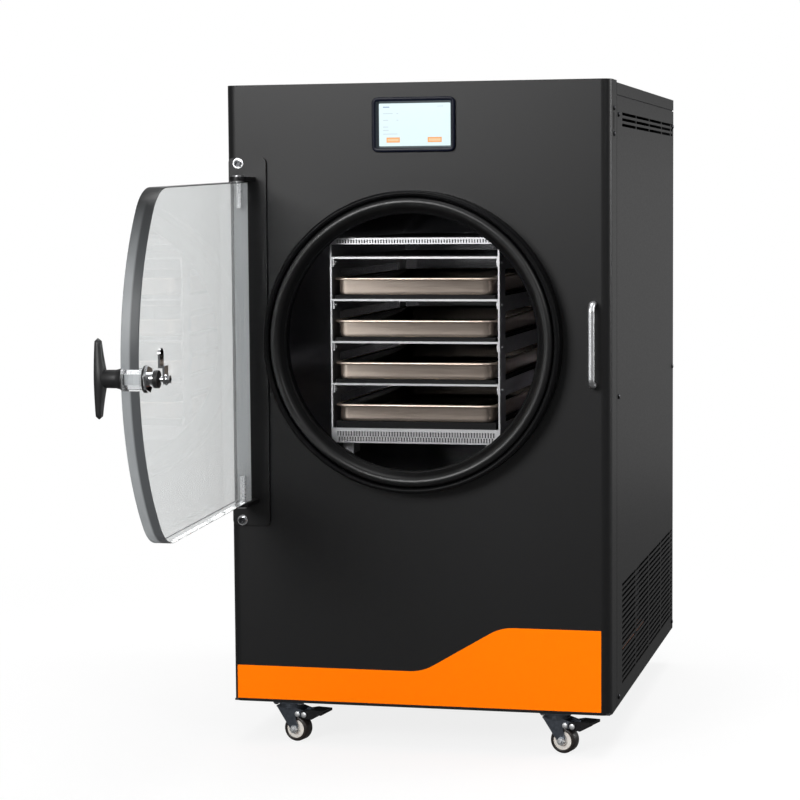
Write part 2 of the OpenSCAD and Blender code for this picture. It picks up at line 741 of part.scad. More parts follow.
module rack_bottom() {
    z1 = -rack_low + chamfer_low;
    slot_h = (strip_low_h - 5) / 2;
    color("silver") at_chamber() {
        translate([0, 0, z1]) mirror([0, 0, 1]) slab_y(rack_y, rack_y + rack_d) rack_cap_outline(chamfer_low);
        slab_y(rack_y, rack_y + rack_t) difference() {
            polygon([[-side_x + rack_t, deck_z - eps], [-side_x + rack_t, z1 - 1],
                [-side_x + chamfer_low, -rack_low + eps], [side_x - chamfer_low, -rack_low + eps],
                [side_x - rack_t, z1 - 1], [side_x - rack_t, deck_z - eps]]);
            strip_slots(side_x - chamfer_low - 1, 0, slot_h, -rack_low + 1.8);
            strip_slots(side_x - rack_t - 1, 0.5, slot_h, -rack_low + slot_h + 3);
        }
        block([-side_x + rack_t, side_x - rack_t], [rack_y, rack_y + rack_d], [deck_z - shelf_t, deck_z]);
        // Skids that stand on the chamber's wall
        intersection() {
            for (sx = [-1, 1], y = [30, rack_d - 80])
                block([sx * skid_x - skid_w / 2, sx * skid_x + skid_w / 2], [y, y + 40],
                    [-chamber_r, -rack_low + eps]);
            along_y() cylinder(r = chamber_r - gap, h = chamber_depth, $fn = 128);
        }
    }
}

module rack_shelves() {
    w = side_x - rack_t;
    color("silver") at_chamber() for (z = shelf_z) difference() {
        union() {
            block([-w, w], [rack_y, rack_y + rack_d], [z - shelf_t, z]);
            for (sx = [-1, 1]) mirror([sx < 0 ? 1 : 0, 0, 0])
                block([w - rack_t, w], [rack_y + 4, rack_y + rack_d], [z - shelf_t - 12, z - shelf_t + eps]);
        }
        for (sx = [-1, 1], y = rack_screw_y) translate([sx * w, y, z - shelf_t - 6])
            rotate([0, 90, 0]) cylinder(d = screw_d + 0.2, h = 4 * rack_t, center = true);
    }
}

module heating_mats() {
    w = side_x - 2 * rack_t - 2;
    color("#202022") at_chamber() {
        for (i = [1:3]) block([-w, w], [rack_y + 2, rack_y + rack_d - 4], [shelf_z[i], shelf_z[i] + mat_t]);
        block([-w, w], [rack_y + 2, rack_y + rack_d - 4], [deck_z, tray_floor[3]]);
    }
}

module tray(i) {
    wall_w = tray_w - 2 * rim_w;
    wall_l = tray_l - 2 * rim_w;
    wall_r = tray_r - rim_w;
    color("tan") at_chamber() translate([0, tray_y + tray_l / 2, tray_floor[i]]) difference() {
        union() {
            linear_extrude(tray_h) rounded(wall_w, wall_l, wall_r);
            translate([0, 0, tray_h - 3]) linear_extrude(3) rounded(tray_w, tray_l, tray_r);
        }
        translate([0, 0, tray_t]) linear_extrude(tray_h)
            rounded(wall_w - 2 * tray_t, wall_l - 2 * tray_t, wall_r - tray_t);
        // The rim is rolled over, and hollow underneath
        translate([0, 0, tray_h - 4]) linear_extrude(4 - tray_t) difference() {
            rounded(tray_w - 2 * tray_t, tray_l - 2 * tray_t, tray_r - tray_t);
            rounded(wall_w, wall_l, wall_r);
        }
    }
}

// ---- Door

// A straight hinge side, a bowed free side and two rounded corners, drawn about the chamber's axis.
// Its upper and lower edges are level at the hinges and then fall towards the free side
door_level = 20;

module door_outline() {
    back = chamber_x - door_back;
    start = back + door_level;
    fall = atan(door_sag / (door_reach + door_back - door_level));
    arc = (door_arc_x - start) / cos(fall);
    half = door_h / 2 * cos(fall);
    corner_z = half - door_corner_r;
    corner_x = sqrt(pow(door_arc_r - door_corner_r, 2) - pow(corner_z, 2));
    translate([back, -door_h / 2]) square([door_level + eps, door_h]);
    intersection() {
        translate([start, 0]) rotate(-fall) translate([arc, 0]) {
            translate([-arc - door_level, -half]) square([corner_x + arc + door_level, 2 * half]);
            for (sz = [-1, 1]) translate([corner_x, sz * corner_z]) circle(door_corner_r, $fn = 96);
            intersection() {
                circle(door_arc_r, $fn = 192);
                polygon([[0, 0], [2 * corner_x, 2 * corner_z], [2 * corner_x, -2 * corner_z]]);
            }
        }
        translate([start, -door_h]) square(2 * door_h);
    }
}

module door_plate() {
    color("#b9c2c6", 0.6) in_cabinet() on_door() difference() {
        translate([0, 0, chamber_z]) slab_y(-door_out, -door_in) door_outline();
        translate([latch_x, 0, latch_z]) slab_y(-door_out - 1, -door_in + 1)
            rotate(30) circle(d = latch_body_d + 2 * gap, $fn = 6);
        for (sz = [-1, 1]) translate([hinge_x, hinge_y, chamber_z + sz * (door_h / 2 + 1)])
            mirror([0, 0, sz > 0 ? 1 : 0]) cylinder(d = pin_d + 2 * run, h = pin_deep + 2);
    }
}

ear_z = door_h / 2 + ear_gap;
ear_r = 13;
hinge_bolt_d = 6;

module hinge_plate() {
    w = hinge_w;
    color("#242426") in_cabinet() translate([0, 0, chamber_z]) difference() {
        union() {
            translate([hinge_plate_x + w / 2, 0, -hinge_drop]) slab_y(-hinge_t, 0) rounded(w, hinge_h, 7);
            for (sz = [-1, 1]) translate([0, 0, sz > 0 ? ear_z : -ear_z - ear_t]) linear_extrude(ear_t) {
                translate([hinge_x, hinge_y]) circle(ear_r);
                translate([hinge_x - ear_r, hinge_y]) square([2 * ear_r, -hinge_y - hinge_t + eps]);
            }
        }
        translate([hinge_x, hinge_y, -ear_z - ear_t - 1])
            cylinder(d = pin_d + 0.04, h = 2 * ear_z + 2 * ear_t + 2);
        for (sz = [-1, 1]) translate([hinge_bolt_x, -hinge_t - 1, sz * hinge_bolt_z - hinge_drop]) along_y()
            cylinder(d = hinge_bolt_d + 0.4, h = hinge_t + 2);
    }
}

module hinge_pins() {
    color("silver") in_cabinet() translate([hinge_x, hinge_y, chamber_z]) for (sz = [-1, 1])
        mirror([0, 0, sz > 0 ? 0 : 1]) {
            translate([0, 0, door_h / 2 - pin_deep + 1])
                cylinder(d = pin_d, h = ear_z + ear_t - door_h / 2 + pin_deep);
            translate([0, 0, ear_z + ear_t]) cylinder(d = pin_head_d, h = pin_head_h);
            // Washer between the ear and the door
            translate([0, 0, door_h / 2 + 0.15]) difference() {
                cylinder(d = pin_head_d, h = ear_gap - gap);
                translate([0, 0, -1]) cylinder(d = pin_d + 2 * run, h = ear_gap + 2);
            }
        }
}

module hinge_bolts() {
    seat = -hinge_t;
    color("silver") in_cabinet() for (sz = [-1, 1])
        translate([hinge_bolt_x, seat, hinge_z + sz * hinge_bolt_z]) {
            // Washer, socket head with its hexagon, shank and the nut behind the panel
            along_front() difference() {
                cylinder(d = 16, h = 1.6);
                translate([0, 0, -1]) cylinder(d = hinge_bolt_d + 0.4, h = 4);
            }
            translate([0, -1.6, 0]) difference() {
                union() {
                    along_front() cylinder(d = 10, h = 6);
                    along_y() cylinder(d = hinge_bolt_d, h = hinge_t + 1.6 + sheet_t + 8);
                }
                translate([0, -6.01, 0]) along_y() cylinder(d = 5.6, h = 3.2, $fn = 6);
            }
            translate([0, hinge_t + sheet_t, 0]) along_y() difference() {
                cylinder(d = 11.5, h = 5, $fn = 6);
                translate([0, 0, -1]) cylinder(d = hinge_bolt_d + 0.1, h = 7);
            }
        }
}

// ---- Latch, drawn along the spindle: x along the closed door, depth from the door's outer face

module at_latch() {
    in_cabinet() on_door() translate([latch_x, 0, latch_z]) children();
}

handle_in = 35.5;
handle_t = 9;
neck_d = 25;
flange_d = 36;

module latch_handle() {
    spindle_end = -cam_hub_y + cam_t / 2;
    flare = 5;
    neck_top = door_out + handle_in + 3;
    end_r = 6;
    color("#1a1a1b") at_latch() {
        along_front() rotate_extrude() polygon([[0, spindle_end], [spindle_d / 2, spindle_end],
            [spindle_d / 2, flange_y], [flange_d / 2 - 2, flange_y], [neck_d / 2, flange_y + flare],
            [neck_d / 2, neck_top], [0, neck_top]]);
        translate([0, -door_out - handle_in - handle_t, 0]) hull() {
            along_y() cylinder(d = neck_d - 2, h = handle_t + 3, $fn = 32);
            for (s = [-1, 1]) translate([0, 0, s * (handle_l / 2 - end_r)])
                along_y() cylinder(r = end_r, h = handle_t - 2, $fn = 24);
        }
    }
}

module latch_body() {
    color("silver") at_latch() difference() {
        union() {
            translate([0, -door_out, 0]) along_y() rotate(30) cylinder(d = latch_body_d, h = door_t, $fn = 6);
            translate([0, -door_in - eps, 0]) along_y() cylinder(d = 20, h = gland_l + eps);
        }
        translate([0, -door_out - 1, 0]) along_y() cylinder(d = spindle_d + 2 * run, h = door_t + 20);
    }
}

module latch_nut() {
    color("silver") at_latch() translate([0, -door_in + seal_t, 0]) along_y() difference() {
        rotate(-15) cylinder(d = 37, h = nut_t, $fn = 6);
        translate([0, 0, -1]) cylinder(d = 20.2, h = nut_t + 2);
    }
}

module latch_seals() {
    color("#151516") at_latch() {
        // Outer seal under the handle's flange, inner seal under the nut, and the gland bush
        translate([0, -door_out - seal_t, 0]) along_y() difference() {
            cylinder(d = flange_d, h = seal_t);
            translate([0, 0, -1]) cylinder(d = spindle_d + 0.6, h = seal_t + 2);
        }
        translate([0, -door_in, 0]) along_y() difference() {
            cylinder(d = flange_d, h = seal_t);
            translate([0, 0, -1]) cylinder(d = 20.2, h = seal_t + 2);
        }
        translate([0, -door_in + gland_l, 0]) along_y() difference() {
            cylinder(d = 23.5, h = bush_t);
            translate([0, 0, -1]) cylinder(d = spindle_d + 0.6, h = bush_t + 2);
        }
    }
}

// The cam: a hub leg, a step of its own thickness and a tip that passes behind the keeper
module latch_cam() {
    joint_z = 15;
    color("silver") at_latch() difference() {
        union() {
            translate([0, cam_hub_y, 0]) slab_y(-cam_t / 2, cam_t / 2) {
                circle(cam_w / 2);
                translate([-cam_w / 2, 0]) square([cam_w, joint_z + cam_t]);
            }
            block([-cam_w / 2, cam_w / 2], [cam_tip_y - cam_t / 2, cam_hub_y + cam_t / 2],
                [joint_z, joint_z + cam_t]);
            translate([0, cam_tip_y, 0]) slab_y(-cam_t / 2, cam_t / 2) difference() {
                translate([0, cam_l - cam_w / 2]) union() {
                    circle(cam_w / 2);
                    translate([-cam_w / 2, -cam_l]) square([cam_w, cam_l]);
                }
                translate([-cam_w, -cam_l]) square([2 * cam_w, cam_l + joint_z]);
            }
        }
        translate([0, cam_hub_y - cam_t, 0]) along_y() cylinder(d = 6.2, h = 2 * cam_t);
    }
}

module cam_bolt() {
    head = cam_hub_y + cam_t / 2;
    color("silver") at_latch() {
        translate([0, head, 0]) along_y() cylinder(d = 14, h = 1.2);
        translate([0, head + 1.2 - eps, 0]) along_y() cylinder(d = 11.5, h = 4, $fn = 6);
        translate([0, cam_hub_y - cam_t / 2, 0]) along_y() cylinder(d = 6, h = cam_t + eps);
    }
}

keeper_bend = 11;
keeper_foot = keeper_l / 2 - keeper_d / 2;
keeper_stud_d = 6;

module keeper() {
    straight = keeper_foot - keeper_bend;
    color("silver") at_chamber() translate([keeper_x, 0, -keeper_drop]) {
        translate([0, -keeper_out, -straight]) cylinder(d = keeper_d, h = 2 * straight);
        for (sz = [-1, 1]) mirror([0, 0, sz > 0 ? 0 : 1]) {
            translate([0, -keeper_out + keeper_bend, straight]) rotate([90, 0, -90])
                rotate_extrude(angle = 90) translate([keeper_bend, 0]) circle(d = keeper_d, $fn = 32);
            translate([0, -keeper_out + keeper_bend - eps, keeper_foot]) along_y()
                cylinder(d = keeper_d, h = keeper_out - keeper_bend + eps);
            translate([0, -eps, keeper_foot]) along_y() cylinder(d = keeper_stud_d, h = 12);
            translate([0, sheet_t, keeper_foot]) along_y() cylinder(d = 11.5, h = 5, $fn = 6);
        }
    }
}

// ---- Screen

module screen_bezel() {
    color("#10131c") in_cabinet() translate([chamber_x + screen_right, 0, screen_z]) difference() {
        union() {
            slab_y(-bezel_t, 0) rounded(screen_w, screen_h, 7);
            slab_y(-eps, screen_back) square(screen_hole - [1, 1], center = true);
        }
        slab_y(-bezel_t - 1, -bezel_t + glass_in + glass_t)
            square([glass_w, glass_h] + [0.4, 0.4], center = true);
    }
}

module screen_glass() {
    color("#e8fcff") in_cabinet() translate([chamber_x + screen_right, 0, screen_z])
        slab_y(-bezel_t + glass_in, -bezel_t + glass_in + glass_t) square([glass_w, glass_h], center = true);
}

// ---- Casters: drawn about the swivel axis, trailing along +X, with z = 0 at the pan

module at_caster(i) {
    in_cabinet() translate([caster_spots[i][0], caster_spots[i][1], 0]) children();
}

module caster_plates() {
    color("#3a3d42") for (i = [0:3]) at_caster(i) difference() {
        union() {
            translate([0, 0, -plate_t]) linear_extrude(plate_t) rounded(caster_plate, caster_plate, 5);
            translate([0, 0, -plate_t - race_h]) cylinder(d = race_d, h = race_h + eps);
            translate([0, 0, fork_top - fork_t - 0.6])
                cylinder(d = kingpin_d, h = -fork_top + fork_t - plate_t);
            translate([0, 0, fork_top - fork_t - gap - 2]) cylinder(d = 13, h = 2);
        }
        for (sx = [-1, 1], sy = [-1, 1])
            translate([sx * caster_hole, sy * caster_hole, -plate_t - 1])
                cylinder(d = screw_d + 0.4, h = plate_t + 2);
    }
}

// A fork cheek's outline in the plane of the wheel, braked or plain
module cheek(braked) {
    hull() {
        translate([caster_trail, axle_z]) circle(6);
        translate([-race_d / 2, fork_top - 1]) square([race_d / 2 + 11, 1]);
    }
    if (braked) hull() {
        translate(pedal_pivot) circle(5);
        translate([0, fork_top - 1]) square([10, 1]);
        translate([caster_trail - 6, pedal_pivot[1] - 5]) square([4, 4]);
    }
}

module caster_fork(i) {
    braked = i < 2;
    out = fork_in + fork_t;
    pin_out = out + 2 * gap + pedal_t;
    color("#2b2d31") at_caster(i) rotate(caster_turn) {
        difference() {
            union() {
                translate([0, 0, fork_top - fork_t]) cylinder(d = race_d, h = fork_t);
                translate([-race_d / 2, -out, fork_top - fork_t]) cube([race_d / 2 + 12, 2 * out, fork_t]);
            }
            translate([0, 0, fork_top - fork_t - 1]) cylinder(d = kingpin_d + 2 * run, h = fork_t + 2);
        }
        for (side = [-1, 1]) translate([0, side * (fork_in + fork_t / 2), 0])
            slab_y(-fork_t / 2, fork_t / 2) cheek(braked);
        // Axle bolt with its head and nut
        translate([caster_trail, 0, axle_z]) rotate([90, 0, 0]) {
            cylinder(d = axle_d, h = 2 * out + 12, center = true);
            for (s = [0, 1]) mirror([0, 0, s]) translate([0, 0, out - eps])
                cylinder(d = 11.5, h = 4.5, $fn = 6);
        }
        // Pedal pin and a rivet across the fork
        if (braked) {
            translate([pedal_pivot[0], 0, pedal_pivot[1]]) rotate([90, 0, 0]) {
                cylinder(d = pedal_pin_d, h = 2 * pin_out + eps, center = true);
                for (s = [0, 1]) mirror([0, 0, s]) translate([0, 0, pin_out]) cylinder(d = 8, h = 2);
            }
            translate([rivet_x, 0, pedal_pivot[1]]) rotate([90, 0, 0])
                cylinder(d = 8, h = 2 * out + 4, center = true);
        }
    }
}

module caster_wheel(i) {
    r = wheel_d / 2;
    color("#e6e1da") at_caster(i) rotate(caster_turn) translate([caster_trail, 0, axle_z]) rotate([90, 0, 0])
        rotate_extrude($fn = 96) polygon([
            [axle_d / 2 + run, -fork_in + 0.3], [6, -fork_in + 0.3], [6, -wheel_w / 2 + 3],
            [r - 6, -wheel_w / 2 + 2], [r - 4, -wheel_w / 2], [r - 1.5, -wheel_w / 2 + 0.8],
            [r, -wheel_w / 2 + 3], [r, wheel_w / 2 - 3], [r - 1.5, wheel_w / 2 - 0.8],
            [r - 4, wheel_w / 2], [r - 6, wheel_w / 2 - 2], [6, wheel_w / 2 - 3],
            [6, fork_in - 0.3], [axle_d / 2 + run, fork_in - 0.3]]);
}

// The pedal: two cheeks outside the fork, joined by a tread plate beyond the wheel
module brake_pedal(i) {
    inner = fork_in + fork_t + gap;
    reach = pedal_pivot[0] + 32;
    top = pedal_pivot[1] + 8;
    color("#17171a") at_caster(i) rotate(caster_turn) difference() {
        union() {
            for (side = [-1, 1]) translate([0, side * (inner + pedal_t / 2), 0])
                slab_y(-pedal_t / 2, pedal_t / 2) polygon([
                    [pedal_pivot[0] - 6, pedal_pivot[1] - 5], [pedal_pivot[0] + 12, pedal_pivot[1] - 7],
                    [reach, top - 4], [reach, top], [pedal_pivot[0] + 8, top],
                    [pedal_pivot[0] - 6, pedal_pivot[1] + 5]]);
            block([pedal_pivot[0] + 10, reach], [-inner - pedal_t, inner + pedal_t], [top - pedal_t, top]);
            translate([pedal_pivot[0] + 9, 0, pedal_pivot[1]]) rotate([90, 0, 0])
                cylinder(d = 4, h = 2 * inner + 2 * pedal_t, center = true);
        }
        translate([pedal_pivot[0], 0, pedal_pivot[1]]) rotate([90, 0, 0])
            cylinder(d = pedal_pin_d + 2 * run, h = 80, center = true);
    }
}

// ---- Machinery in the lower compartment

module compressor() {
    r = compressor_d / 2;
    dome_h = 30;
    dome_r = (r * r + dome_h * dome_h) / (2 * dome_h);
    dome_z = compressor_h - dome_h;
    color("#161618") in_cabinet() translate([compressor_spot[0], compressor_spot[1], pan_t]) {
        translate([0, 0, foot_h]) cylinder(r = r, h = dome_z - foot_h);
        translate([0, 0, dome_z - eps]) rotate_extrude() intersection() {
            translate([0, dome_h - dome_r]) circle(dome_r, $fn = 96);
            square([r, dome_h]);
        }
        translate([0, 0, foot_h - 3]) linear_extrude(3 + eps)
            rounded(compressor_d + 20, compressor_d + 20, 30);
        for (sx = [-1, 1], sy = [-1, 1]) translate([sx * r, sy * r, 0])
            cylinder(d = 24, h = foot_h - 3 + eps);
        for (sx = [-1, 1]) translate([sx * stub_x, 0, dome_z]) cylinder(d = 14, h = dome_h + stub_h);
    }
}

module condenser() {
    fins = 24;
    pitch = condenser_w / fins;
    color("#8d8f92") in_cabinet() translate([condenser_x - condenser_w / 2, condenser_y, pan_t]) {
        for (i = [0:fins]) translate([i * pitch - 0.6, 0, condenser_z]) cube([1.2, condenser_t, condenser_h]);
        for (row = [0:7]) translate([-16, condenser_t / 2, condenser_z + 18 + row * (condenser_h - 36) / 7])
            rotate([0, 90, 0]) cylinder(d = 9, h = condenser_w + 32);
        for (x = [-16, condenser_w + 13]) translate([x, -4, 0])
            cube([3, condenser_t + 8, condenser_h + condenser_z]);
    }
}

fan_y = condenser_y + condenser_t + 26;
motor_d = 80;
motor_y0 = fan_y + 14;

module fan_motor() {
    color("#3a3c40") in_cabinet() translate([condenser_x, 0, pan_t + fan_z]) {
        translate([0, motor_y0, 0]) along_y() cylinder(d = motor_d, h = 34);
        translate([0, fan_y - 12, 0]) along_y() cylinder(d = 8, h = 40);
        // Bracket that stands on the pan
        block([-14, 14], [motor_y0 + 30, motor_y0 + 36], [-fan_z, 0]);
        block([-30, 30], [motor_y0 + 10, motor_y0 + 36], [-fan_z, -fan_z + 3]);
    }
}

module fan_blades() {
    color("#1d1e20") in_cabinet() translate([condenser_x, fan_y, pan_t + fan_z]) difference() {
        union() {
            translate([0, -10, 0]) along_y() cylinder(d = 46, h = 20);
            for (k = [0:fan_blades_n - 1]) rotate([0, 360 * k / fan_blades_n, 0]) translate([0, 0, 20])
                rotate([0, 0, 24]) translate([-24, -1, 0]) cube([48, 2, fan_d / 2 - 32]);
        }
        translate([0, -20, 0]) along_y() cylinder(d = 8 + 2 * run, h = 40);
    }
}

module vacuum_pump() {
    motor_l = pump_l * 0.45;
    color("#2d4a6b") in_cabinet() translate([pump_x, pump_y, pan_t]) {
        block([-pump_w / 2, pump_w / 2], [0, pump_l - motor_l], [foot_h, pump_h]);
        translate([0, pump_l - motor_l - eps, pump_h / 2 + 4]) along_y()
            cylinder(d = pump_w - 6, h = motor_l);
        for (y = [20, pump_l - motor_l - 40])
            block([-pump_w / 2, pump_w / 2], [y, y + 20], [0, foot_h + eps]);
        block([-40, 40], [pump_l - 60, pump_l - 40], [0, 50]);
        translate([0, pump_l * 0.55 - 45, pump_h - eps]) cylinder(d = port_d, h = port_h + eps);
        translate([0, 50, pump_h - eps]) cylinder(d = 40, h = 30);
    }
}

// The hose runs from the chamber's port to the pump's port
module vacuum_hose() {
    port_y = pump_y + pump_l * 0.55 - 45;
    y0 = chamber_depth + port_l;
    color("#26282b") in_cabinet() pipe(route([
        [port_x, y0, port_z], [port_x, y0 + 60, port_z], [port_x, y0 + 60, hose_z], [pump_x, y0 + 60, hose_z],
        [pump_x, port_y, hose_z], [pump_x, port_y, pan_t + pump_h + port_h]], 24, 4), port_d, 12);
}

// The drain hose runs from the chamber's lowest point to the drain valve
module drain_hose() {
    y0 = chamber_depth - 40;
    color("#d8dcd8") in_cabinet() pipe(route([
        [chamber_x, y0, chamber_z - tube_r - 44], [chamber_x, y0, drain_spot[1] + 60],
        [drain_spot[0], y0 + 60, drain_spot[1]], [drain_spot[0], back_y - 24, drain_spot[1]]], 24, 4),
        drain_pipe_d, 8);
}

module refrigerant_pipes() {
    d = 8;
    stub = pan_t + compressor_h + stub_h;
    cx = compressor_spot[0];
    cy = compressor_spot[1];
    end_z = chamber_z - foam_r + 60;
    low_z = pan_t + condenser_z + 18;
    high_z = low_z + condenser_h - 36;
    tube_y = condenser_y + condenser_t / 2;
    right_x = condenser_x + condenser_w / 2 + 16;
    left_x = condenser_x - condenser_w / 2 - 16;
    color("peru") in_cabinet() {
        // Suction: the coil's back end to the compressor
        pipe(route([[chamber_x - coil_r, coil_y1, end_z], [chamber_x - coil_r, coil_y1, 290],
            [cx + stub_x, coil_y1, 290], [cx + stub_x, coil_y1, pipe_z], [cx + stub_x, cy, pipe_z],
            [cx + stub_x, cy, stub]], 8, 3), d);
        // Discharge: the compressor to the condenser's top
        pipe(route([[cx - stub_x, cy, stub], [cx - stub_x, cy, pipe_z], [cx - stub_x, cy + 160, pipe_z],
            [left_x - 14, cy + 160, pipe_z], [left_x - 14, tube_y, pipe_z], [left_x - 14, tube_y, high_z],
            [left_x, tube_y, high_z]], 5, 3), d);
        // Liquid: the condenser's bottom to the coil's front end
        pipe(route([[right_x, tube_y, low_z], [right_x + 9, tube_y, low_z], [right_x + 9, coil_y0, low_z],
            [chamber_x + coil_r, coil_y0, low_z], [chamber_x + coil_r, coil_y0, end_z]], 8, 3), d);
    }
}

// A rolled ring round the fan, on a plate against the condenser
module fan_shroud() {
    y0 = condenser_y + condenser_t + 4;
    color("#2a2b2e") in_cabinet() translate([condenser_x, 0, pan_t + fan_z]) difference() {
        union() {
            slab_y(y0, y0 + 2) square([condenser_w + 30, condenser_h], center = true);
            translate([0, y0, 0]) along_y() cylinder(d = fan_d + 4, h = 34);
        }
        translate([0, y0 - 1, 0]) along_y() cylinder(d = fan_d, h = 36);
    }
}

module control_box() {
    color("#b8bcc0") in_cabinet() {
        block([-260, -60], [80, 200], [pan_t, 180]);
    }
}

module power_inlet() {
    color("#141415") in_cabinet() translate([inlet_spot[0], 0, inlet_spot[1]]) difference() {
        union() {
            translate([0, 0, rocker_z / 2]) slab_y(cab_d, cab_d + 2.5) rounded(58, 84, 4);
            slab_y(back_y - 26, cab_d + eps) square(inlet_size - [1, 1], center = true);
            translate([0, 0, rocker_z]) slab_y(back_y - 20, cab_d + eps)
                square(rocker_size + [3, 3], center = true);
        }
        slab_y(cab_d - 16, cab_d + 4) square([28, 20], center = true);
        translate([0, 0, rocker_z]) slab_y(cab_d - 12, cab_d + 4)
            square(rocker_size + [0.8, 0.8], center = true);
    }
}

rocker_tilt = 8;

module power_rocker() {
    color("#b01818") in_cabinet() translate([inlet_spot[0], cab_d - 1, inlet_spot[1] + rocker_z])
        rotate([rocker_tilt, 0, 0]) intersection() {
            slab_y(-7, 6) square(rocker_size - [0.6, 1.6], center = true);
            rotate([0, 90, 0]) cylinder(r = 7.2, h = 60, center = true);
        }
}

module drain_valve() {
    d = drain_pipe_d;
    color("#b59a4a") in_cabinet() translate([drain_spot[0], 0, drain_spot[1]]) difference() {
        union() {
            translate([0, back_y - 24, 0]) along_y() cylinder(d = d + 8, h = 60);
            translate([0, cab_d, 0]) along_y() cylinder(d = d + 16, h = 4, $fn = 6);
            translate([0, cab_d + 34 - eps, 0]) along_y() cylinder(d = d, h = 24);
            translate([0, cab_d + 20, 0]) cylinder(d = 12, h = 18);
        }
        translate([0, back_y - 25, 0]) along_y() cylinder(d = d - 5, h = 100);
        translate([0, cab_d + 20, 15]) cylinder(d = 4.04, h = 8);
    }
}

module drain_lever() {
    color("#b01818") in_cabinet() translate([drain_spot[0], cab_d + 20, drain_spot[1] + 18 + gap]) {
        cylinder(d = 14, h = 4);
        translate([-5, 0, 0]) cube([10, 44, 3]);
        translate([0, 0, -gap - 2.9]) cylinder(d = 4 - 2 * run + 0.04, h = gap + 3);
    }
}

chassis_frame();
front_panel();
side_panel_left();
side_panel_right();
top_cover();
back_panel();
front_decal();
service_port();
pan_head_screws();
chamber();
chamber_insulation();
evaporator_coil();
door_gasket();
rack_sides();
rack_top();
rack_bottom();
rack_shelves();
heating_mats();
tray(0);  // tray_1
tray(1);  // tray_2
tray(2);  // tray_3
tray(3);  // tray_4
door_plate();
hinge_plate();
hinge_pins();
hinge_bolts();
latch_handle();
latch_body();
latch_nut();
latch_seals();
latch_cam();
cam_bolt();
keeper();
screen_bezel();
screen_glass();
caster_plates();
caster_fork(0);  // caster_fork_fl
caster_fork(1);  // caster_fork_fr
caster_fork(2);  // caster_fork_bl
caster_fork(3);  // caster_fork_br
caster_wheel(0);  // caster_wheel_fl
caster_wheel(1);  // caster_wheel_fr
caster_wheel(2);  // caster_wheel_bl
caster_wheel(3);  // caster_wheel_br
brake_pedal(0);  // brake_pedal_fl
brake_pedal(1);  // brake_pedal_fr
compressor();
condenser();
fan_motor();
fan_blades();
fan_shroud();
vacuum_pump();
vacuum_hose();
drain_hose();
refrigerant_pipes();
control_box();
power_inlet();
power_rocker();
drain_valve();
drain_lever();
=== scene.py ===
import math
import bpy
from mathutils import Matrix, Vector


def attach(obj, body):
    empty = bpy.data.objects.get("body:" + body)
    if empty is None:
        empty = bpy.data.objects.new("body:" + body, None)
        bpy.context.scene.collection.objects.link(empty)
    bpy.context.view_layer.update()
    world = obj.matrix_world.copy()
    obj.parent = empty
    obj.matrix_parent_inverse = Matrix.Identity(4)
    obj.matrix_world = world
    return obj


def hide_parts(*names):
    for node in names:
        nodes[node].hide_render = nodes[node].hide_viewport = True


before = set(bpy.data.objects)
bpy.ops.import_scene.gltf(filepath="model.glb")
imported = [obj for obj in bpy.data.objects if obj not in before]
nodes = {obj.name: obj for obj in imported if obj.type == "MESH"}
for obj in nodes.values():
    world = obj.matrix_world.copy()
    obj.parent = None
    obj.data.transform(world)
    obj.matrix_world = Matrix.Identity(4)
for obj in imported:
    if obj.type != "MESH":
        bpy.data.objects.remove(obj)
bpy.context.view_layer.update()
print("frame loaded,", len(nodes), "nodes")

mm = 0.001
noiseSpread = (0.3, 0.7)  # where nearly all of a noise's values lie


# an sRGB hex value, made linear
def linear(hexText):
    parts = [int(hexText[i:i + 2], 16) / 255 for i in (1, 3, 5)]
    return [p / 12.92 if p <= 0.04045 else ((p + 0.055) / 1.055) ** 2.4 for p in parts] + [1.0]


# adds one node; an input is a value or the socket that feeds it
def addNode(tree, kind, inputs=None, **settings):
    node = tree.nodes.new(kind)
    for key, value in settings.items():
        setattr(node, key, value)
    for key, value in (inputs or {}).items():
        if isinstance(value, bpy.types.NodeSocket):
            tree.links.new(value, node.inputs[key])
        else:
            node.inputs[key].default_value = value
    return node


# a finish whose tone, gloss and relief all follow one noise; gloss is its roughness at the sharpest and
# the dullest, grain the size of its features in mm, along how many times longer they run in x, y and z
def finish(name, dark, light, gloss, metal=0.0, grain=3.0, along=(1, 1, 1), relief=0.0, ior=1.5, **more):
    material = bpy.data.materials.new(name)
    material.use_nodes = True
    tree = material.node_tree
    shader = tree.nodes["Principled BSDF"]
    where = addNode(tree, "ShaderNodeTexCoord")
    fit = addNode(tree, "ShaderNodeMapping", {0: where.outputs["Object"], "Scale": [1 / a for a in along]})
    noise = addNode(tree, "ShaderNodeTexNoise", {0: fit.outputs[0], "Scale": 1 / (grain * mm), "Detail": 3.0})
    tone = addNode(tree, "ShaderNodeMix", {0: noise.outputs[0], 6: linear(dark), 7: linear(light)},
                   data_type="RGBA")
    (low, high), (sharpest, dullest) = noiseSpread, gloss
    shine = addNode(tree, "ShaderNodeMapRange", {0: noise.outputs[0], "From Min": low, "From Max": high,
                                                 "To Min": sharpest, "To Max": dullest})
    tree.links.new(tone.outputs[2], shader.inputs["Base Color"])
    tree.links.new(shine.outputs[0], shader.inputs["Roughness"])
    if relief:
        bump = addNode(tree, "ShaderNodeBump", {"Height": noise.outputs[0], "Distance": relief * mm})
        tree.links.new(bump.outputs[0], shader.inputs["Normal"])
    shader.inputs["Metallic"].default_value = metal
    if not metal:
        shader.inputs["IOR"].default_value = ior
    for key, value in more.items():
        shader.inputs[key.replace("_", " ")].default_value = value
    return material


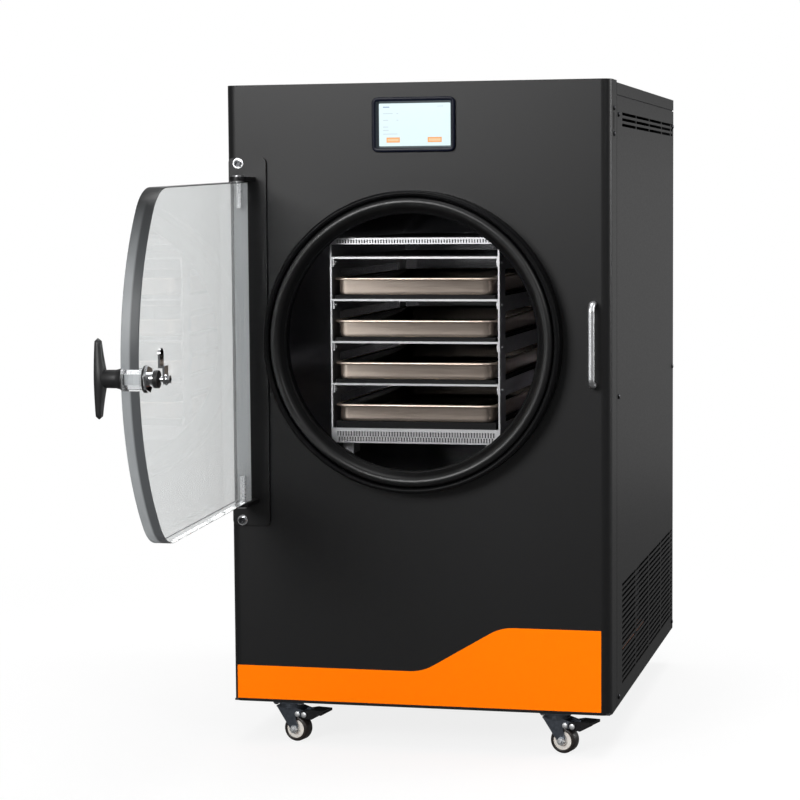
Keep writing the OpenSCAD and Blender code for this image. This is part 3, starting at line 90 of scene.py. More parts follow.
# lays a second colour over a finish's own, by a share from 0 to 1
def overlay(material, share, hexText):
    tree = material.node_tree
    base = tree.nodes["Principled BSDF"].inputs["Base Color"]
    under = base.links[0].from_socket
    tone = addNode(tree, "ShaderNodeMix", {0: share, 6: under, 7: linear(hexText)}, data_type="RGBA")
    tree.links.new(tone.outputs[2], base)


# 1 for what is looked at straight or through the clear door, 0 for light that falls on something else
def lookedAt(tree):
    rays = addNode(tree, "ShaderNodeLightPath").outputs
    either = addNode(tree, "ShaderNodeMath", {0: rays["Is Camera Ray"], 1: rays["Is Transmission Ray"]},
                     operation="ADD", use_clamp=True)
    return either.outputs[0]


camera = {
    "place": (0.8114, -3.8928, 0.8371),
    "yaw": 13.410, "pitch": 4.763, "roll": -0.4435,  # degrees: to the left, down, and about the view
    "lens": 107.6, "sensor": 36, "farthest": 60,     # lens and sensor in mm, farthest in m
}


def setCamera():
    data = bpy.data.cameras.new("camera")
    data.sensor_width = camera["sensor"]
    data.lens = camera["lens"]
    data.clip_end = camera["farthest"]
    spot = bpy.data.objects.new("camera", data)
    yaw, pitch, roll = (math.radians(camera[key]) for key in ("yaw", "pitch", "roll"))
    ahead = Vector((-math.sin(yaw) * math.cos(pitch), math.cos(yaw) * math.cos(pitch), -math.sin(pitch)))
    right = Vector((math.cos(yaw), math.sin(yaw), 0))
    up = right.cross(ahead)
    right, up = math.cos(roll) * right + math.sin(roll) * up, math.cos(roll) * up - math.sin(roll) * right
    turn = Matrix((right, up, -ahead)).transposed().to_4x4()
    spot.matrix_world = Matrix.Translation(camera["place"]) @ turn
    bpy.context.scene.collection.objects.link(spot)
    bpy.context.scene.camera = spot


setCamera()
print("camera set")


studio = {
    "floorColours": ("#f4f4f4", "#f9f9f9"),
    "floor": ((-14, -8), (14, 20)),  # two corners, in m
    "floorWhite": (0.84, 1.0),       # share of plain white in the paper: near the object, and further out
    "floorFade": (0.8, 1.8),         # from where to where that share grows, in m
    "dome": (0.09, 0.46),            # the dome's light: low, overhead
    "domeHeights": (-0.3, 0.9),      # between which heights it grows, as a share of the way up
    "lamps": [                       # name, place, aimed at, width, height, watts
        ("keyLamp", (-1.2, -3.9, 1.9), (-0.05, -0.38, 0.75), 1.6, 1.2, 82),
        ("fillLamp", (3.2, -3.4, 2.4), (0.0, -0.3, 0.6), 0.9, 0.9, 22),
        ("sideLamp", (3.4, 1.6, 1.5), (0.3, 0.2, 0.6), 1.4, 1.6, 44),
        ("backLamp", (1.0, 2.6, 0.55), (0.3, 0.4, 0.5), 0.7, 1.0, 0.6),
        ("topLamp", (0.2, 0.3, 3.6), (0.0, 0.0, 0.0), 2.4, 2.4, 100),
    ],
}


# the paper floor: keeps the shadow near the object and fades to plain white further out
def paperFloor():
    dark, light = studio["floorColours"]
    material = finish("seamlessPaper", dark, light, (0.8, 0.9), grain=40)
    tree = material.node_tree
    near, far = studio["floorWhite"]
    start, end = studio["floorFade"]
    where = addNode(tree, "ShaderNodeTexCoord")
    reach = addNode(tree, "ShaderNodeVectorMath", {0: where.outputs["Object"]}, operation="LENGTH")
    lift = addNode(tree, "ShaderNodeMapRange", {0: reach.outputs["Value"], "From Min": start, "From Max": end,
                                                "To Min": near, "To Max": far})
    share = addNode(tree, "ShaderNodeMath", {0: lookedAt(tree), 1: lift.outputs[0]}, operation="MULTIPLY")
    white = addNode(tree, "ShaderNodeEmission")
    paper = tree.nodes["Principled BSDF"].outputs[0]
    blend = addNode(tree, "ShaderNodeMixShader", {0: share.outputs[0], 1: paper, 2: white.outputs[0]})
    tree.links.new(blend.outputs[0], tree.nodes["Material Output"].inputs["Surface"])
    return material


def setLamps():
    for name, place, target, width, height, watts in studio["lamps"]:
        data = bpy.data.lights.new(name, "AREA")
        data.shape = "RECTANGLE"
        data.size, data.size_y, data.energy = width, height, watts
        lamp = bpy.data.objects.new(name, data)
        lamp.location = place
        lamp.rotation_euler = (Vector(target) - Vector(place)).to_track_quat("-Z", "Y").to_euler()
        bpy.context.scene.collection.objects.link(lamp)


# plain white where it is looked at; its light grows evenly from low to overhead
def setDome():
    world = bpy.data.worlds.new("studioDome")
    world.use_nodes = True
    bpy.context.scene.world = world
    tree = world.node_tree
    background = tree.nodes["Background"]
    where = addNode(tree, "ShaderNodeTexCoord")
    height = addNode(tree, "ShaderNodeSeparateXYZ", {0: where.outputs["Generated"]})
    low, high = studio["dome"]
    start, end = studio["domeHeights"]
    level = addNode(tree, "ShaderNodeMapRange", {0: height.outputs[2], "From Min": start, "From Max": end,
                                                 "To Min": low, "To Max": high})
    strength = addNode(tree, "ShaderNodeMix", {0: lookedAt(tree), 2: level.outputs[0], 3: 1.0})
    background.inputs["Color"].default_value = (1, 1, 1, 1)
    tree.links.new(strength.outputs[0], background.inputs["Strength"])


def setFloor():
    (left, front), (right, back) = studio["floor"]
    corners = [(left, front, 0), (right, front, 0), (right, back, 0), (left, back, 0)]
    mesh = bpy.data.meshes.new("floor")
    mesh.from_pydata(corners, [], [(0, 1, 2, 3)])
    floor = bpy.data.objects.new("floor", mesh)
    mesh.materials.append(paperFloor())
    floor.visible_glossy = False
    bpy.context.scene.collection.objects.link(floor)


bpy.context.scene.view_settings.view_transform = "Standard"
setLamps()
setDome()
setFloor()
print("studio set")


# the finishes, with sizes in mm and colours from darkest to lightest.
# Satin powder coat on sheet steel: near black, even, a faint orange peel drawn at 3 mm so that it shows
powderCoat = finish("satinPowderCoat", "#0e0e0f", "#131314", (0.38, 0.44), grain=3, relief=0.01, ior=1.42)
# the same coat on the thick hinge plate, a little blacker
blackCoat = finish("blackPowderCoat", "#0b0b0c", "#0f0f10", (0.34, 0.42), grain=3, relief=0.01, ior=1.42)
# brushed paint on the chassis tube: flat dark grey
chassisPaint = finish("chassisPaint", "#26272a", "#2d2e31", (0.5, 0.65), grain=6)
# self-adhesive vinyl film: full orange with a soft shine
vinylFilm = finish("orangeVinylFilm", "#ff7600", "#ff7a00", (0.5, 0.6), grain=9, Specular_IOR_Level=0.03)
# moulded ABS: black, fine spark texture of about 0.4 mm, drawn at 1 mm
blackAbs = finish("mouldedAbs", "#0d0d0e", "#121213", (0.4, 0.5), grain=1, relief=0.01, ior=1.53)
# the screen's frame: glossy moulded ABS with a touch of navy
navyAbs = finish("glossyNavyAbs", "#080b18", "#0b0f20", (0.22, 0.3), grain=1, ior=1.53,
                 Specular_IOR_Level=0.12)
# zinc-plated steel of the fastenings: pale, with a soft sparkle
zinc = finish("zincPlatedSteel", "#c9cacc", "#dfe0e2", (0.22, 0.36), metal=1.0, grain=2)
# bright zinc of the casters' rivets and axle nuts, blasted so that it stays pale from every side
blastedZinc = finish("blastedZinc", "#e6e7e9", "#f4f5f6", (0.46, 0.58), metal=1.0, grain=2)

# the same steel, blackened on the panels' screws: those far out to a side or at the back, in m
screws = {"steel": ("#c9cacc", "#dfe0e2"), "black": "#3a3a3d", "sideFrom": 0.2, "backFrom": 0.3}


def screwFinish():
    material = finish("panScrews", *screws["steel"], (0.22, 0.36), metal=1.0, grain=2)
    tree = material.node_tree
    where = addNode(tree, "ShaderNodeTexCoord")
    spot = addNode(tree, "ShaderNodeSeparateXYZ", {0: where.outputs["Object"]})
    out = addNode(tree, "ShaderNodeMath", {0: spot.outputs[0]}, operation="ABSOLUTE")
    side = addNode(tree, "ShaderNodeMath", {0: out.outputs[0], 1: screws["sideFrom"]},
                   operation="GREATER_THAN")
    back = addNode(tree, "ShaderNodeMath", {0: spot.outputs[1], 1: screws["backFrom"]},
                   operation="GREATER_THAN")
    panel = addNode(tree, "ShaderNodeMath", {0: side.outputs[0], 1: back.outputs[0]}, operation="MAXIMUM")
    overlay(material, panel.outputs[0], screws["black"])
    return material


panelScrews = screwFinish()

# the hinge bolts: bright washers under heads painted darker, a painted shade standing in for their hex
# sockets; the heads begin at headFrom in depth, in m
bolts = {"head": ("#4a4b4e", "#66676a"), "washer": "#e2e3e5", "headFrom": -0.38875}


def boltFinish():
    material = finish("boltSteelPaintedShade", *bolts["head"], (0.2, 0.3), metal=1.0, grain=2)
    tree = material.node_tree
    where = addNode(tree, "ShaderNodeTexCoord")
    spot = addNode(tree, "ShaderNodeSeparateXYZ", {0: where.outputs["Object"]})
    washer = addNode(tree, "ShaderNodeMath", {0: spot.outputs[1], 1: bolts["headFrom"]},
                     operation="GREATER_THAN")
    overlay(material, washer.outputs[0], bolts["washer"])
    return material


hingeBolts = boltFinish()

# bright chromed brass of the latch and the spindle: sharp mirror highlights
chrome = finish("polishedChrome", "#c9cacc", "#dcdddf", (0.06, 0.12), metal=1.0, grain=6)
# electropolished stainless tube: dark in its own shade, with long soft mirror streaks down its length
chamberSteel = finish("polishedStainlessTube", "#a4a4a8", "#b0b0b4", (0.2, 0.26), metal=1.0, grain=40,
                      along=(1, 6, 1))
# satin chrome of the keeper: light, with soft highlights down both sides
satinChrome = finish("satinChrome", "#e0e1e3", "#eeeff0", (0.36, 0.42), metal=1.0, grain=6)
# stainless sheet of the rack, polished along its depth: pale, its grain of 0.2 mm drawn at 0.8 mm
rackSteel = finish("polishedStainlessSheet", "#c0c0c2", "#d6d6d8", (0.34, 0.44), metal=1.0, grain=0.8,
                   along=(1, 30, 1))
# pressed stainless trays: warm and bright, drawn in one direction, grain of 0.2 mm drawn at 0.9 mm
traySteel = finish("pressedStainlessTray", "#f0dccb", "#fdecdf", (0.30, 0.42), metal=1.0, grain=0.9,
                   along=(40, 40, 1), relief=0.006)
# their insides, with a sharper mirror finish and a colour darkened as a painted reflection of the black mat
# above: dark and sharp
trayInsidePaintedShade = finish("mirrorStainlessTrayPaintedShade", "#4a4541", "#57514c", (0.1, 0.18), metal=1.0, grain=0.9,
                    along=(40, 40, 1))

# moulded black nitrile of the door gasket: the bulb's skin has a soft shine, the lips at both sides are matt.
# The shine changes over two bands of the radius, in m from the gasket's middle
gasket = {
    "middle": (0.003, 0.0, -0.625), "inner": (0.201, 0.206), "outer": (0.2155, 0.2185),
    "matt": 0.08, "shine": 0.5,
}


def gasketFinish():
    material = finish("mouldedNitrile", "#0a0a0b", "#0d0d0e", (0.32, 0.4), grain=4, relief=0.01, ior=1.52)
    tree = material.node_tree
    where = addNode(tree, "ShaderNodeTexCoord")
    spot = addNode(tree, "ShaderNodeMapping", {0: where.outputs["Object"], "Location": gasket["middle"]})
    flat = addNode(tree, "ShaderNodeVectorMath", {0: spot.outputs[0], 1: (1, 0, 1)}, operation="MULTIPLY")
    radius = addNode(tree, "ShaderNodeVectorMath", {0: flat.outputs[0]}, operation="LENGTH")
    inner, outer = [
        addNode(tree, "ShaderNodeMapRange", {0: radius.outputs["Value"], "From Min": start, "From Max": end,
                                             "To Min": gasket[first], "To Max": gasket[last]})
        for (start, end), first, last in ((gasket["inner"], "matt", "shine"),
                                          (gasket["outer"], "shine", "matt"))]
    level = addNode(tree, "ShaderNodeMath", {0: inner.outputs[0], 1: outer.outputs[0]}, operation="MINIMUM")
    tree.links.new(level.outputs[0], tree.nodes["Principled BSDF"].inputs["Specular IOR Level"])
    return material


nitrile = gasketFinish()

# moulded rubber seals: black and matt
sealRubber = finish("sealRubber", "#0b0b0c", "#131314", (0.5, 0.62), grain=1, relief=0.01, ior=1.52)
# silicone heating mats: the blackest part, faintly pebbled
siliconeMat = finish("siliconeMat", "#070708", "#0b0b0c", (0.45, 0.6), grain=1.2, relief=0.03, ior=1.41,
                     Specular_IOR_Level=0.3)
# closed-cell nitrile foam: dull, with open pores on its cut skin
nitrileFoam = finish("nitrileFoam", "#121213", "#1d1d1e", (0.8, 0.95), grain=1.5, relief=0.25)
# drawn copper tube: dulled orange-brown
copperTube = finish("drawnCopper", "#b06a45", "#c98560", (0.25, 0.4), metal=1.0, grain=4)
# moulded glass-filled nylon of the T-handle: black, with a fine matt texture
handleNylon = finish("glassFilledNylon", "#131314", "#1b1b1c", (0.36, 0.5), grain=0.9, relief=0.02, ior=1.53)
# black passivated steel of the caster forks: its colour raised to blue-grey, a painted sheen standing in for
# light on its side faces, with soft highlights
forkSteelPaintedSheen = finish("blackPassivatedSteelPaintedSheen", "#6a7079", "#7c828c", (0.3, 0.42), metal=1.0, grain=3)
# cast polyurethane of the caster treads: brown-black, rubbed smooth
polyurethane = finish("castPolyurethane", "#1f1a18", "#2a2422", (0.3, 0.42), grain=2, relief=0.02)
# moulded nylon of their hubs: cream, with a waxy shine
creamNylon = finish("creamNylon", "#dcd7d0", "#e8e4de", (0.35, 0.5), grain=3, ior=1.53)
# stoved enamel on the brake pedals: black, worn to a shine by feet
pedalSteel = finish("blackPedalSteel", "#0e0e10", "#17171a", (0.25, 0.4), grain=2)
# the machinery behind the louvres: glossy black enamel on the compressor
compressorPaint = finish("compressorEnamel", "#0d0d0e", "#131315", (0.2, 0.3), grain=5)
# rolled aluminium fins: mid grey, streaked upright
finAluminium = finish("rolledAluminiumFins", "#8f9194", "#a9abae", (0.3, 0.45), metal=1.0, grain=2,
                      along=(1, 1, 20))
# baked enamel on the motor: plain dark grey
motorGrey = finish("motorEnamel", "#34363a", "#3d3f44", (0.35, 0.5), grain=4)
# moulded fan and shroud: off-black with a dull shine
fanPlastic = finish("mouldedFanPlastic", "#141517", "#1b1c1e", (0.35, 0.45), grain=2)
# hammer paint on the pump's castings: deep blue with small dimples
pumpBlue = finish("blueHammerPaint", "#24476f", "#2c5482", (0.25, 0.4), grain=3, relief=0.1)
# extruded rubber hose: dull black
hoseBlack = finish("ribbedHoseRubber", "#151618", "#1e2022", (0.5, 0.6), grain=2, relief=0.1)
# extruded PVC drain hose: pale and shiny
hoseClear = finish("clearPvcHose", "#c6cbc8", "#d8dcda", (0.15, 0.25), grain=5)
# baked enamel on the control box: light grey
boxGrey = finish("lightGreyEnamel", "#a9adb1", "#b5b9bc", (0.4, 0.5), grain=5)
# machined brass of the drain valve: yellow, with fine bright turning marks
brass = finish("machinedBrass", "#b8954a", "#cba95e", (0.2, 0.32), metal=1.0, grain=1)
# moulded ABS of the rocker and the valve's lever: signal red
redPlastic = finish("redAbs", "#a01212", "#b61a1a", (0.3, 0.4), grain=3, ior=1.53)

# cast acrylic, 25 mm, fogged by use: a milky grey haze with upright wipe marks, under a glossy skin.
# It hardly bends light, so that what lies behind the door shows in its place
acrylic = finish("foggedCastAcrylic", "#eef0f0", "#f4f6f6", (0.0, 0.02), grain=26, along=(1, 1, 6), ior=1.01,
                 Transmission_Weight=0.80, Coat_Weight=0.8, Coat_IOR=1.49, Coat_Roughness=0.02)
# the sawn hinge end, left rough: pale, with streaks along the saw cut
sawnAcrylic = finish("sawnAcrylicEnd", "#a5a9ab", "#d2d5d7", (0.4, 0.6), grain=3, along=(0.6, 0.6, 40),
                     ior=1.3, Transmission_Weight=0.3)

# the door's polished rim, with light and shade painted into its colour: the half towards the outer face is
# painted lighter as light gathered inside it, the inner half is painted dark as a painted reflection of the
# dark cabinet, both get painted shade towards the top corner, and in a narrow band the latch body shows
# through. In m
rim = {
    "pivot": (0.262, 0.4318, 0.0), "turn": math.radians(-1.5),  # turns the thickness into x, about the hinge
    # lit is painted light in the outer half; inner is painted shade, a painted reflection of the dark
    # cabinet; top is painted shade at the top corner
    "lit": ("#7b7e80", "#888b8d"), "inner": "#3c3e40", "top": "#161718",
    "change": (-0.0015, 0.0015),                                # where the two halves meet in the thickness
    "shade": (0.74, 0.84),                                      # the heights between which its painted shade comes in
    "latchZ": 0.607, "latchBand": (0.0135, 0.0145),             # the band's middle, and where it fades out
}


def rimPaintedLightAndShade():
    material = finish("polishedAcrylicRimPaintedLightAndShade", *rim["lit"], (0.3, 0.4), grain=14, along=(1, 1, 5), ior=1.3,
                      Transmission_Weight=0.2)
    tree = material.node_tree
    where = addNode(tree, "ShaderNodeTexCoord")
    turned = addNode(tree, "ShaderNodeMapping", {0: where.outputs["Object"], "Location": rim["pivot"]})
    flat = addNode(tree, "ShaderNodeMapping", {0: turned.outputs[0], "Rotation": (0, 0, rim["turn"])})
    spot = addNode(tree, "ShaderNodeSeparateXYZ", {0: flat.outputs[0]})
    # painted shade: the inner half is darkened as a painted reflection of the dark cabinet
    start, end = rim["change"]
    half = addNode(tree, "ShaderNodeMapRange", {0: spot.outputs[0], "From Min": start, "From Max": end})
    overlay(material, half.outputs[0], rim["inner"])
    # painted shade towards the top corner
    low, high = rim["shade"]
    shade = addNode(tree, "ShaderNodeMapRange", {0: spot.outputs[2], "From Min": low, "From Max": high})
    overlay(material, shade.outputs[0], rim["top"])
    away = addNode(tree, "ShaderNodeMath", {0: spot.outputs[2], 1: rim["latchZ"]}, operation="SUBTRACT")
    off = addNode(tree, "ShaderNodeMath", {0: away.outputs[0]}, operation="ABSOLUTE")
    near, far = rim["latchBand"]
    shown = addNode(tree, "ShaderNodeMapRange", {0: off.outputs[0], "From Min": near, "From Max": far,
                                                 "To Min": 1.0, "To Max": 0.0})
    clear = addNode(tree, "ShaderNodeBsdfTransparent")
    acrylicSide = tree.nodes["Principled BSDF"].outputs[0]
    blend = addNode(tree, "ShaderNodeMixShader", {0: shown.outputs[0], 1: acrylicSide, 2: clear.outputs[0]})
    tree.links.new(blend.outputs[0], tree.nodes["Material Output"].inputs["Surface"])
    return material


acrylicRimPaintedLightAndShade = rimPaintedLightAndShade()

# which finish goes on which pieces of the frame
cadFinish = {
    "powderCoat": (powderCoat, ["front_panel", "side_panel_left", "side_panel_right", "top_cover",
                                "back_panel"]),
    "blackCoat": (blackCoat, ["hinge_plate"]),
    "chassis": (chassisPaint, ["chassis_frame"]),
    "film": (vinylFilm, ["front_decal"]),
    "abs": (blackAbs, ["service_port", "power_inlet"]),
    "bezel": (navyAbs, ["screen_bezel"]),
    "screws": (panelScrews, ["pan_head_screws"]),
    "bolts": (hingeBolts, ["hinge_bolts"]),
    "zinc": (zinc, ["hinge_pins"]),
    "chrome": (chrome, ["latch_body", "latch_nut", "latch_cam", "cam_bolt"]),
    "keeper": (satinChrome, ["keeper"]),
    "chamber": (chamberSteel, ["chamber"]),
    "rack": (rackSteel, ["rack_sides", "rack_top", "rack_bottom", "rack_shelves"]),
    "gasket": (nitrile, ["door_gasket"]),
    "seals": (sealRubber, ["latch_seals"]),
    "mats": (siliconeMat, ["heating_mats"]),
    "foam": (nitrileFoam, ["chamber_insulation"]),
    "copper": (copperTube, ["evaporator_coil", "refrigerant_pipes"]),
    "casters": (forkSteelPaintedSheen, ["caster_plates", "caster_fork_fl", "caster_fork_fr", "caster_fork_bl",
                            "caster_fork_br"]),
    "pedals": (pedalSteel, ["brake_pedal_fl", "brake_pedal_fr"]),
    "compressor": (compressorPaint, ["compressor"]),
    "fins": (finAluminium, ["condenser"]),
    "motor": (motorGrey, ["fan_motor"]),
    "fan": (fanPlastic, ["fan_blades", "fan_shroud"]),
    "pump": (pumpBlue, ["vacuum_pump"]),
    "hose": (hoseBlack, ["vacuum_hose"]),
    "drainHose": (hoseClear, ["drain_hose"]),
    "box": (boxGrey, ["control_box"]),
    "brass": (brass, ["drain_valve"]),
    "red": (redPlastic, ["power_rocker", "drain_lever"]),
}


def finishCad():
    for material, names in cadFinish.values():
        for name in names:
            data = nodes[name].data
            data.materials.clear()
            data.materials.append(material)


finishCad()
print("finishes made and put on the frame")


# joins rings of equal length into a skin; each ring is closed, and loop joins the last to the first
def skin(rings, capFirst=False, capLast=False, loop=False):
    count = len(rings[0])
    points = [p for ring in rings for p in ring]
    faces = []
    for i in range(len(rings) if loop else len(rings) - 1):
        j = (i + 1) % len(rings)
        for k in range(count):
            n = (k + 1) % count
            faces.append((i * count + k, i * count + n, j * count + n, j * count + k))
    if capFirst:
        faces.append(tuple(range(count - 1, -1, -1)))
    if capLast:
        faces.append(tuple((len(rings) - 1) * count + k for k in range(count)))
    return points, faces


# rings of a turned part: each pair in the profile is a radius and a place along y; x and z are the axis
def turnedRings(profile, sides, x=0.0, z=0.0):
    turns = [2 * math.pi * k / sides for k in range(sides)]
    return [[(x + r * math.cos(a), y, z + r * math.sin(a)) for a in turns] for r, y in profile]


# adds one mesh's points and faces to another's
def addMesh(points, faces, more, flip=False):
    morePoints, moreFaces = more
    first = len(points)
    points += morePoints
    faces += [tuple(first + i for i in (reversed(face) if flip else face)) for face in moreFaces]


# a mesh becomes a piece that rides on a body and stands in for the frame's own nodes
def newPiece(name, points, faces, materials, body, place, sharp=35, stands=()):
    mesh = bpy.data.meshes.new(name)
    mesh.from_pydata([tuple(p) for p in points], [], faces)
    mesh.validate()
    mesh.transform(place)
    mesh.update()
    for material in materials:
        mesh.materials.append(material)
    mesh.shade_smooth()
    mesh.set_sharp_from_angle(angle=math.radians(sharp))
    piece = bpy.data.objects.new(name, mesh)
    bpy.context.scene.collection.objects.link(piece)
    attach(piece, body)
    if stands:
        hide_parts(*stands)
    return piece


# sheet edges are drawn a little round, in mm, so that they catch the light
sheetEdge = {
    "round": 0.6, "steps": 2, "sharperThan": 50,
    "pieces": ("front_panel", "side_panel_left", "side_panel_right", "top_cover", "back_panel",
               "hinge_plate"),
}


def roundSheetEdges():
    for name in sheetEdge["pieces"]:
        bevel = nodes[name].modifiers.new("Bevel", "BEVEL")
        bevel.width = sheetEdge["round"] * mm
        bevel.segments = sheetEdge["steps"]
        bevel.limit_method = "ANGLE"
        bevel.angle_limit = math.radians(sheetEdge["sharperThan"])
        bevel.harden_normals = True


roundSheetEdges()
print("sheet edges rounded")

# the cabinet's own frame in mm: x to the right, y into the cabinet, z up from its bottom
cabinet = {"depth": 762, "casters": 64, "chamberX": -3.0, "chamberZ": 561.0}
inCabinet = (Matrix.Translation((0, -cabinet["depth"] / 2 * mm, cabinet["casters"] * mm))
             @ Matrix.Scale(mm, 4))

# the acrylic door as if shut, in mm: x from the cabinet's middle, inner is how far it stands off the panel
door = {
    "hinge": (-262.0, -50.8), "open": 88.5,
    "inner": 38.3, "thick": 25.0, "height": 484.0, "edgeRound": 1.2,
    "back": -271.0, "level": 20.0, "reach": 268.0, "sag": 12.0,   # its hinge side, and its hanging free side
    "arcR": 330.0, "cornerR": 80.0, "cornerSteps": 12, "arcSteps": 40,
    "latch": (242.0, 543.0), "latchHole": 28.6,   # the latch's axis, and its hexagonal hole across corners
    "flat": 0.999, "upright": 0.995, "end": 0.7,  # how squarely a face, a level edge and the hinge end face
}
onDoor = (inCabinet @ Matrix.Translation((door["hinge"][0], door["hinge"][1], 0))
          @ Matrix.Rotation(math.radians(-door["open"]), 4, "Z")
          @ Matrix.Translation((-door["hinge"][0], -door["hinge"][1], 0)))


# level beside the hinges, then falling towards the bowed free side; x and z from the chamber's axis
def doorOutline():
    start = door["back"] + door["level"]
    fall = math.atan(door["sag"] / (door["reach"] - start))
    arc = (door["reach"] - door["arcR"] - start) / math.cos(fall)
    r = door["cornerR"]
    cornerZ = door["height"] / 2 * math.cos(fall) - r
    cornerX = math.sqrt((door["arcR"] - r) ** 2 - cornerZ ** 2)
    turn = math.asin(cornerZ / (door["arcR"] - r))
    steps = door["cornerSteps"]
    corner = [(cornerX + r * math.cos(a), -cornerZ + r * math.sin(a))
              for a in [-math.pi / 2 + (math.pi / 2 - turn) * i / steps for i in range(steps + 1)]]
    steps = door["arcSteps"]
    bow = [(door["arcR"] * math.cos(a), door["arcR"] * math.sin(a))
           for a in [-turn + 2 * turn * i / steps for i in range(1, steps)]]
    side = corner + bow + [(x, -z) for x, z in reversed(corner)]
    falling = [(start + (arc + x) * math.cos(fall) + z * math.sin(fall),
                -(arc + x) * math.sin(fall) + z * math.cos(fall)) for x, z in side]
    half = door["height"] / 2
    return [(door["back"], -half), (start, -half)] + falling + [(start, half), (door["back"], half)]


# a flat plate with holes: x and z as drawn, thickness from y0 to y1, its edges rounded
def plate(name, outlines, y0, y1, edgeRound, steps=3):
    curve = bpy.data.curves.new(name, "CURVE")
    curve.dimensions = "2D"
    curve.fill_mode = "BOTH"
    for outline in outlines:
        line = curve.splines.new("POLY")
        line.points.add(len(outline) - 1)
        for spot, (x, z) in zip(line.points, outline):
            spot.co = (x, z, 0, 1)
        line.use_cyclic_u = True
    curve.extrude = (y1 - y0) / 2 - edgeRound
    curve.bevel_depth = edgeRound
    curve.bevel_resolution = steps
    curve.offset = -edgeRound
    shape = bpy.data.objects.new(name, curve)
    mesh = bpy.data.meshes.new_from_object(shape)
    bpy.data.objects.remove(shape)
    stand = Matrix.Translation((0, (y0 + y1) / 2, 0)) @ Matrix.Rotation(math.radians(90), 4, "X")
    points = [stand @ v.co for v in mesh.vertices]
    faces = [tuple(p.vertices) for p in mesh.polygons]
    return points, faces


# the faces and level edges are clear, the rim is polished, and the hinge end is left sawn
def makeDoor():
    outline = [(x, z + cabinet["chamberZ"]) for x, z in doorOutline()]
    latchX, latchZ = door["latch"]
    r = door["latchHole"] / 2
    hole = [(latchX + r * math.cos(a), latchZ + r * math.sin(a))
            for a in [math.radians(30 + 60 * i) for i in range(6)]]
    points, faces = plate("acrylicDoor", [outline, hole], -door["inner"] - door["thick"], -door["inner"],
                          door["edgeRound"])
    piece = newPiece("acrylicDoor", points, faces, [acrylic, acrylicRimPaintedLightAndShade, sawnAcrylic], "door", onDoor,
                     sharp=30, stands=["door_plate"])
    across = (onDoor.to_3x3() @ Vector((0, 1, 0))).normalized()
    hinge = (onDoor.to_3x3() @ Vector((-1, 0, 0))).normalized()
    for face in piece.data.polygons:
        if abs(face.normal.dot(across)) > door["flat"] or abs(face.normal.z) > door["upright"]:
            face.material_index = 0
        elif face.normal.dot(hinge) > door["end"]:
            face.material_index = 2
        else:
            face.material_index = 1


makeDoor()
print("door made")


# the T-handle, in mm, with lengths measured out from the door's outer face
handle = {
    "length": 107.0, "out": 44.5, "bow": 1.6, "tipBack": 3.5,  # the ends stand back by these
    "ends": (9.0, 12.0), "middle": (17.0, 21.0),               # depth and width of the bar
    "full": 0.1, "taper": 0.85, "taperPower": 1.15,            # shares of half the bar, the taper's curve
    "tip": 0.10, "tipLeast": 0.12, "square": 0.75,             # its tip's share and last size, its section
    "steps": 28, "around": 20,
    # radius and distance out, down the neck and over its flange
    "neck": [(0.1, 34.0), (9.5, 34.0), (12.0, 31.5), (12.3, 14.0), (13.6, 8.5), (16.6, 4.6), (18.0, 3.8),
             (18.0, 2.4), (17.2, 2.2), (0.1, 2.2)],
    "neckSides": 48, "spindleR": 4.0, "spindleEnd": -11.0, "spindleSides": 24,
}


def handleBar(out):
    rings = []
    for i in range(handle["steps"] + 1):
        t = -1 + 2 * i / handle["steps"]
        swell = max(0.0, 1 - max(0.0, abs(t) - handle["full"]) / handle["taper"]) ** handle["taperPower"]
        close = math.sqrt(max(0.0, 1 - max(0.0, (abs(t) - 1 + handle["tip"]) / handle["tip"]) ** 2))
        deep, wide = ((end + (middle - end) * swell) * max(close, handle["tipLeast"])
                      for end, middle in zip(handle["ends"], handle["middle"]))
        outer = -(out + handle["out"]) + handle["bow"] * t * t + (1 - close) * handle["tipBack"]
        ring = []
        for k in range(handle["around"]):
            a = 2 * math.pi * k / handle["around"]
            x = math.copysign(abs(math.cos(a)) ** handle["square"], math.cos(a))
            y = math.copysign(abs(math.sin(a)) ** handle["square"], math.sin(a))
            ring.append((wide / 2 * x, outer + deep / 2 + deep / 2 * y, handle["length"] / 2 * t))
        rings.append(ring)
    return skin(rings, True, True)


# the bar and its neck are nylon; the spindle runs from the flange through the latch body to the cam
def makeHandle():
    out = door["inner"] + door["thick"]
    points, faces = handleBar(out)
    neck = [(r, -(out + y)) for r, y in handle["neck"]]
    addMesh(points, faces, skin(turnedRings(neck, handle["neckSides"])))
    metal = len(faces)
    core, start = neck[-1]
    r, end = handle["spindleR"], handle["spindleEnd"]
    spindle = [(core, start), (r, start), (r, end), (core, end)]
    addMesh(points, faces, skin(turnedRings(spindle, handle["spindleSides"])))
    place = onDoor @ Matrix.Translation((door["latch"][0], 0, door["latch"][1]))
    piece = newPiece("handleBar", points, faces, [handleNylon, chrome], "latch", place, sharp=50,
                     stands=["latch_handle"])
    for face in list(piece.data.polygons)[metal:]:
        face.material_index = 1


makeHandle()
print("handle made")


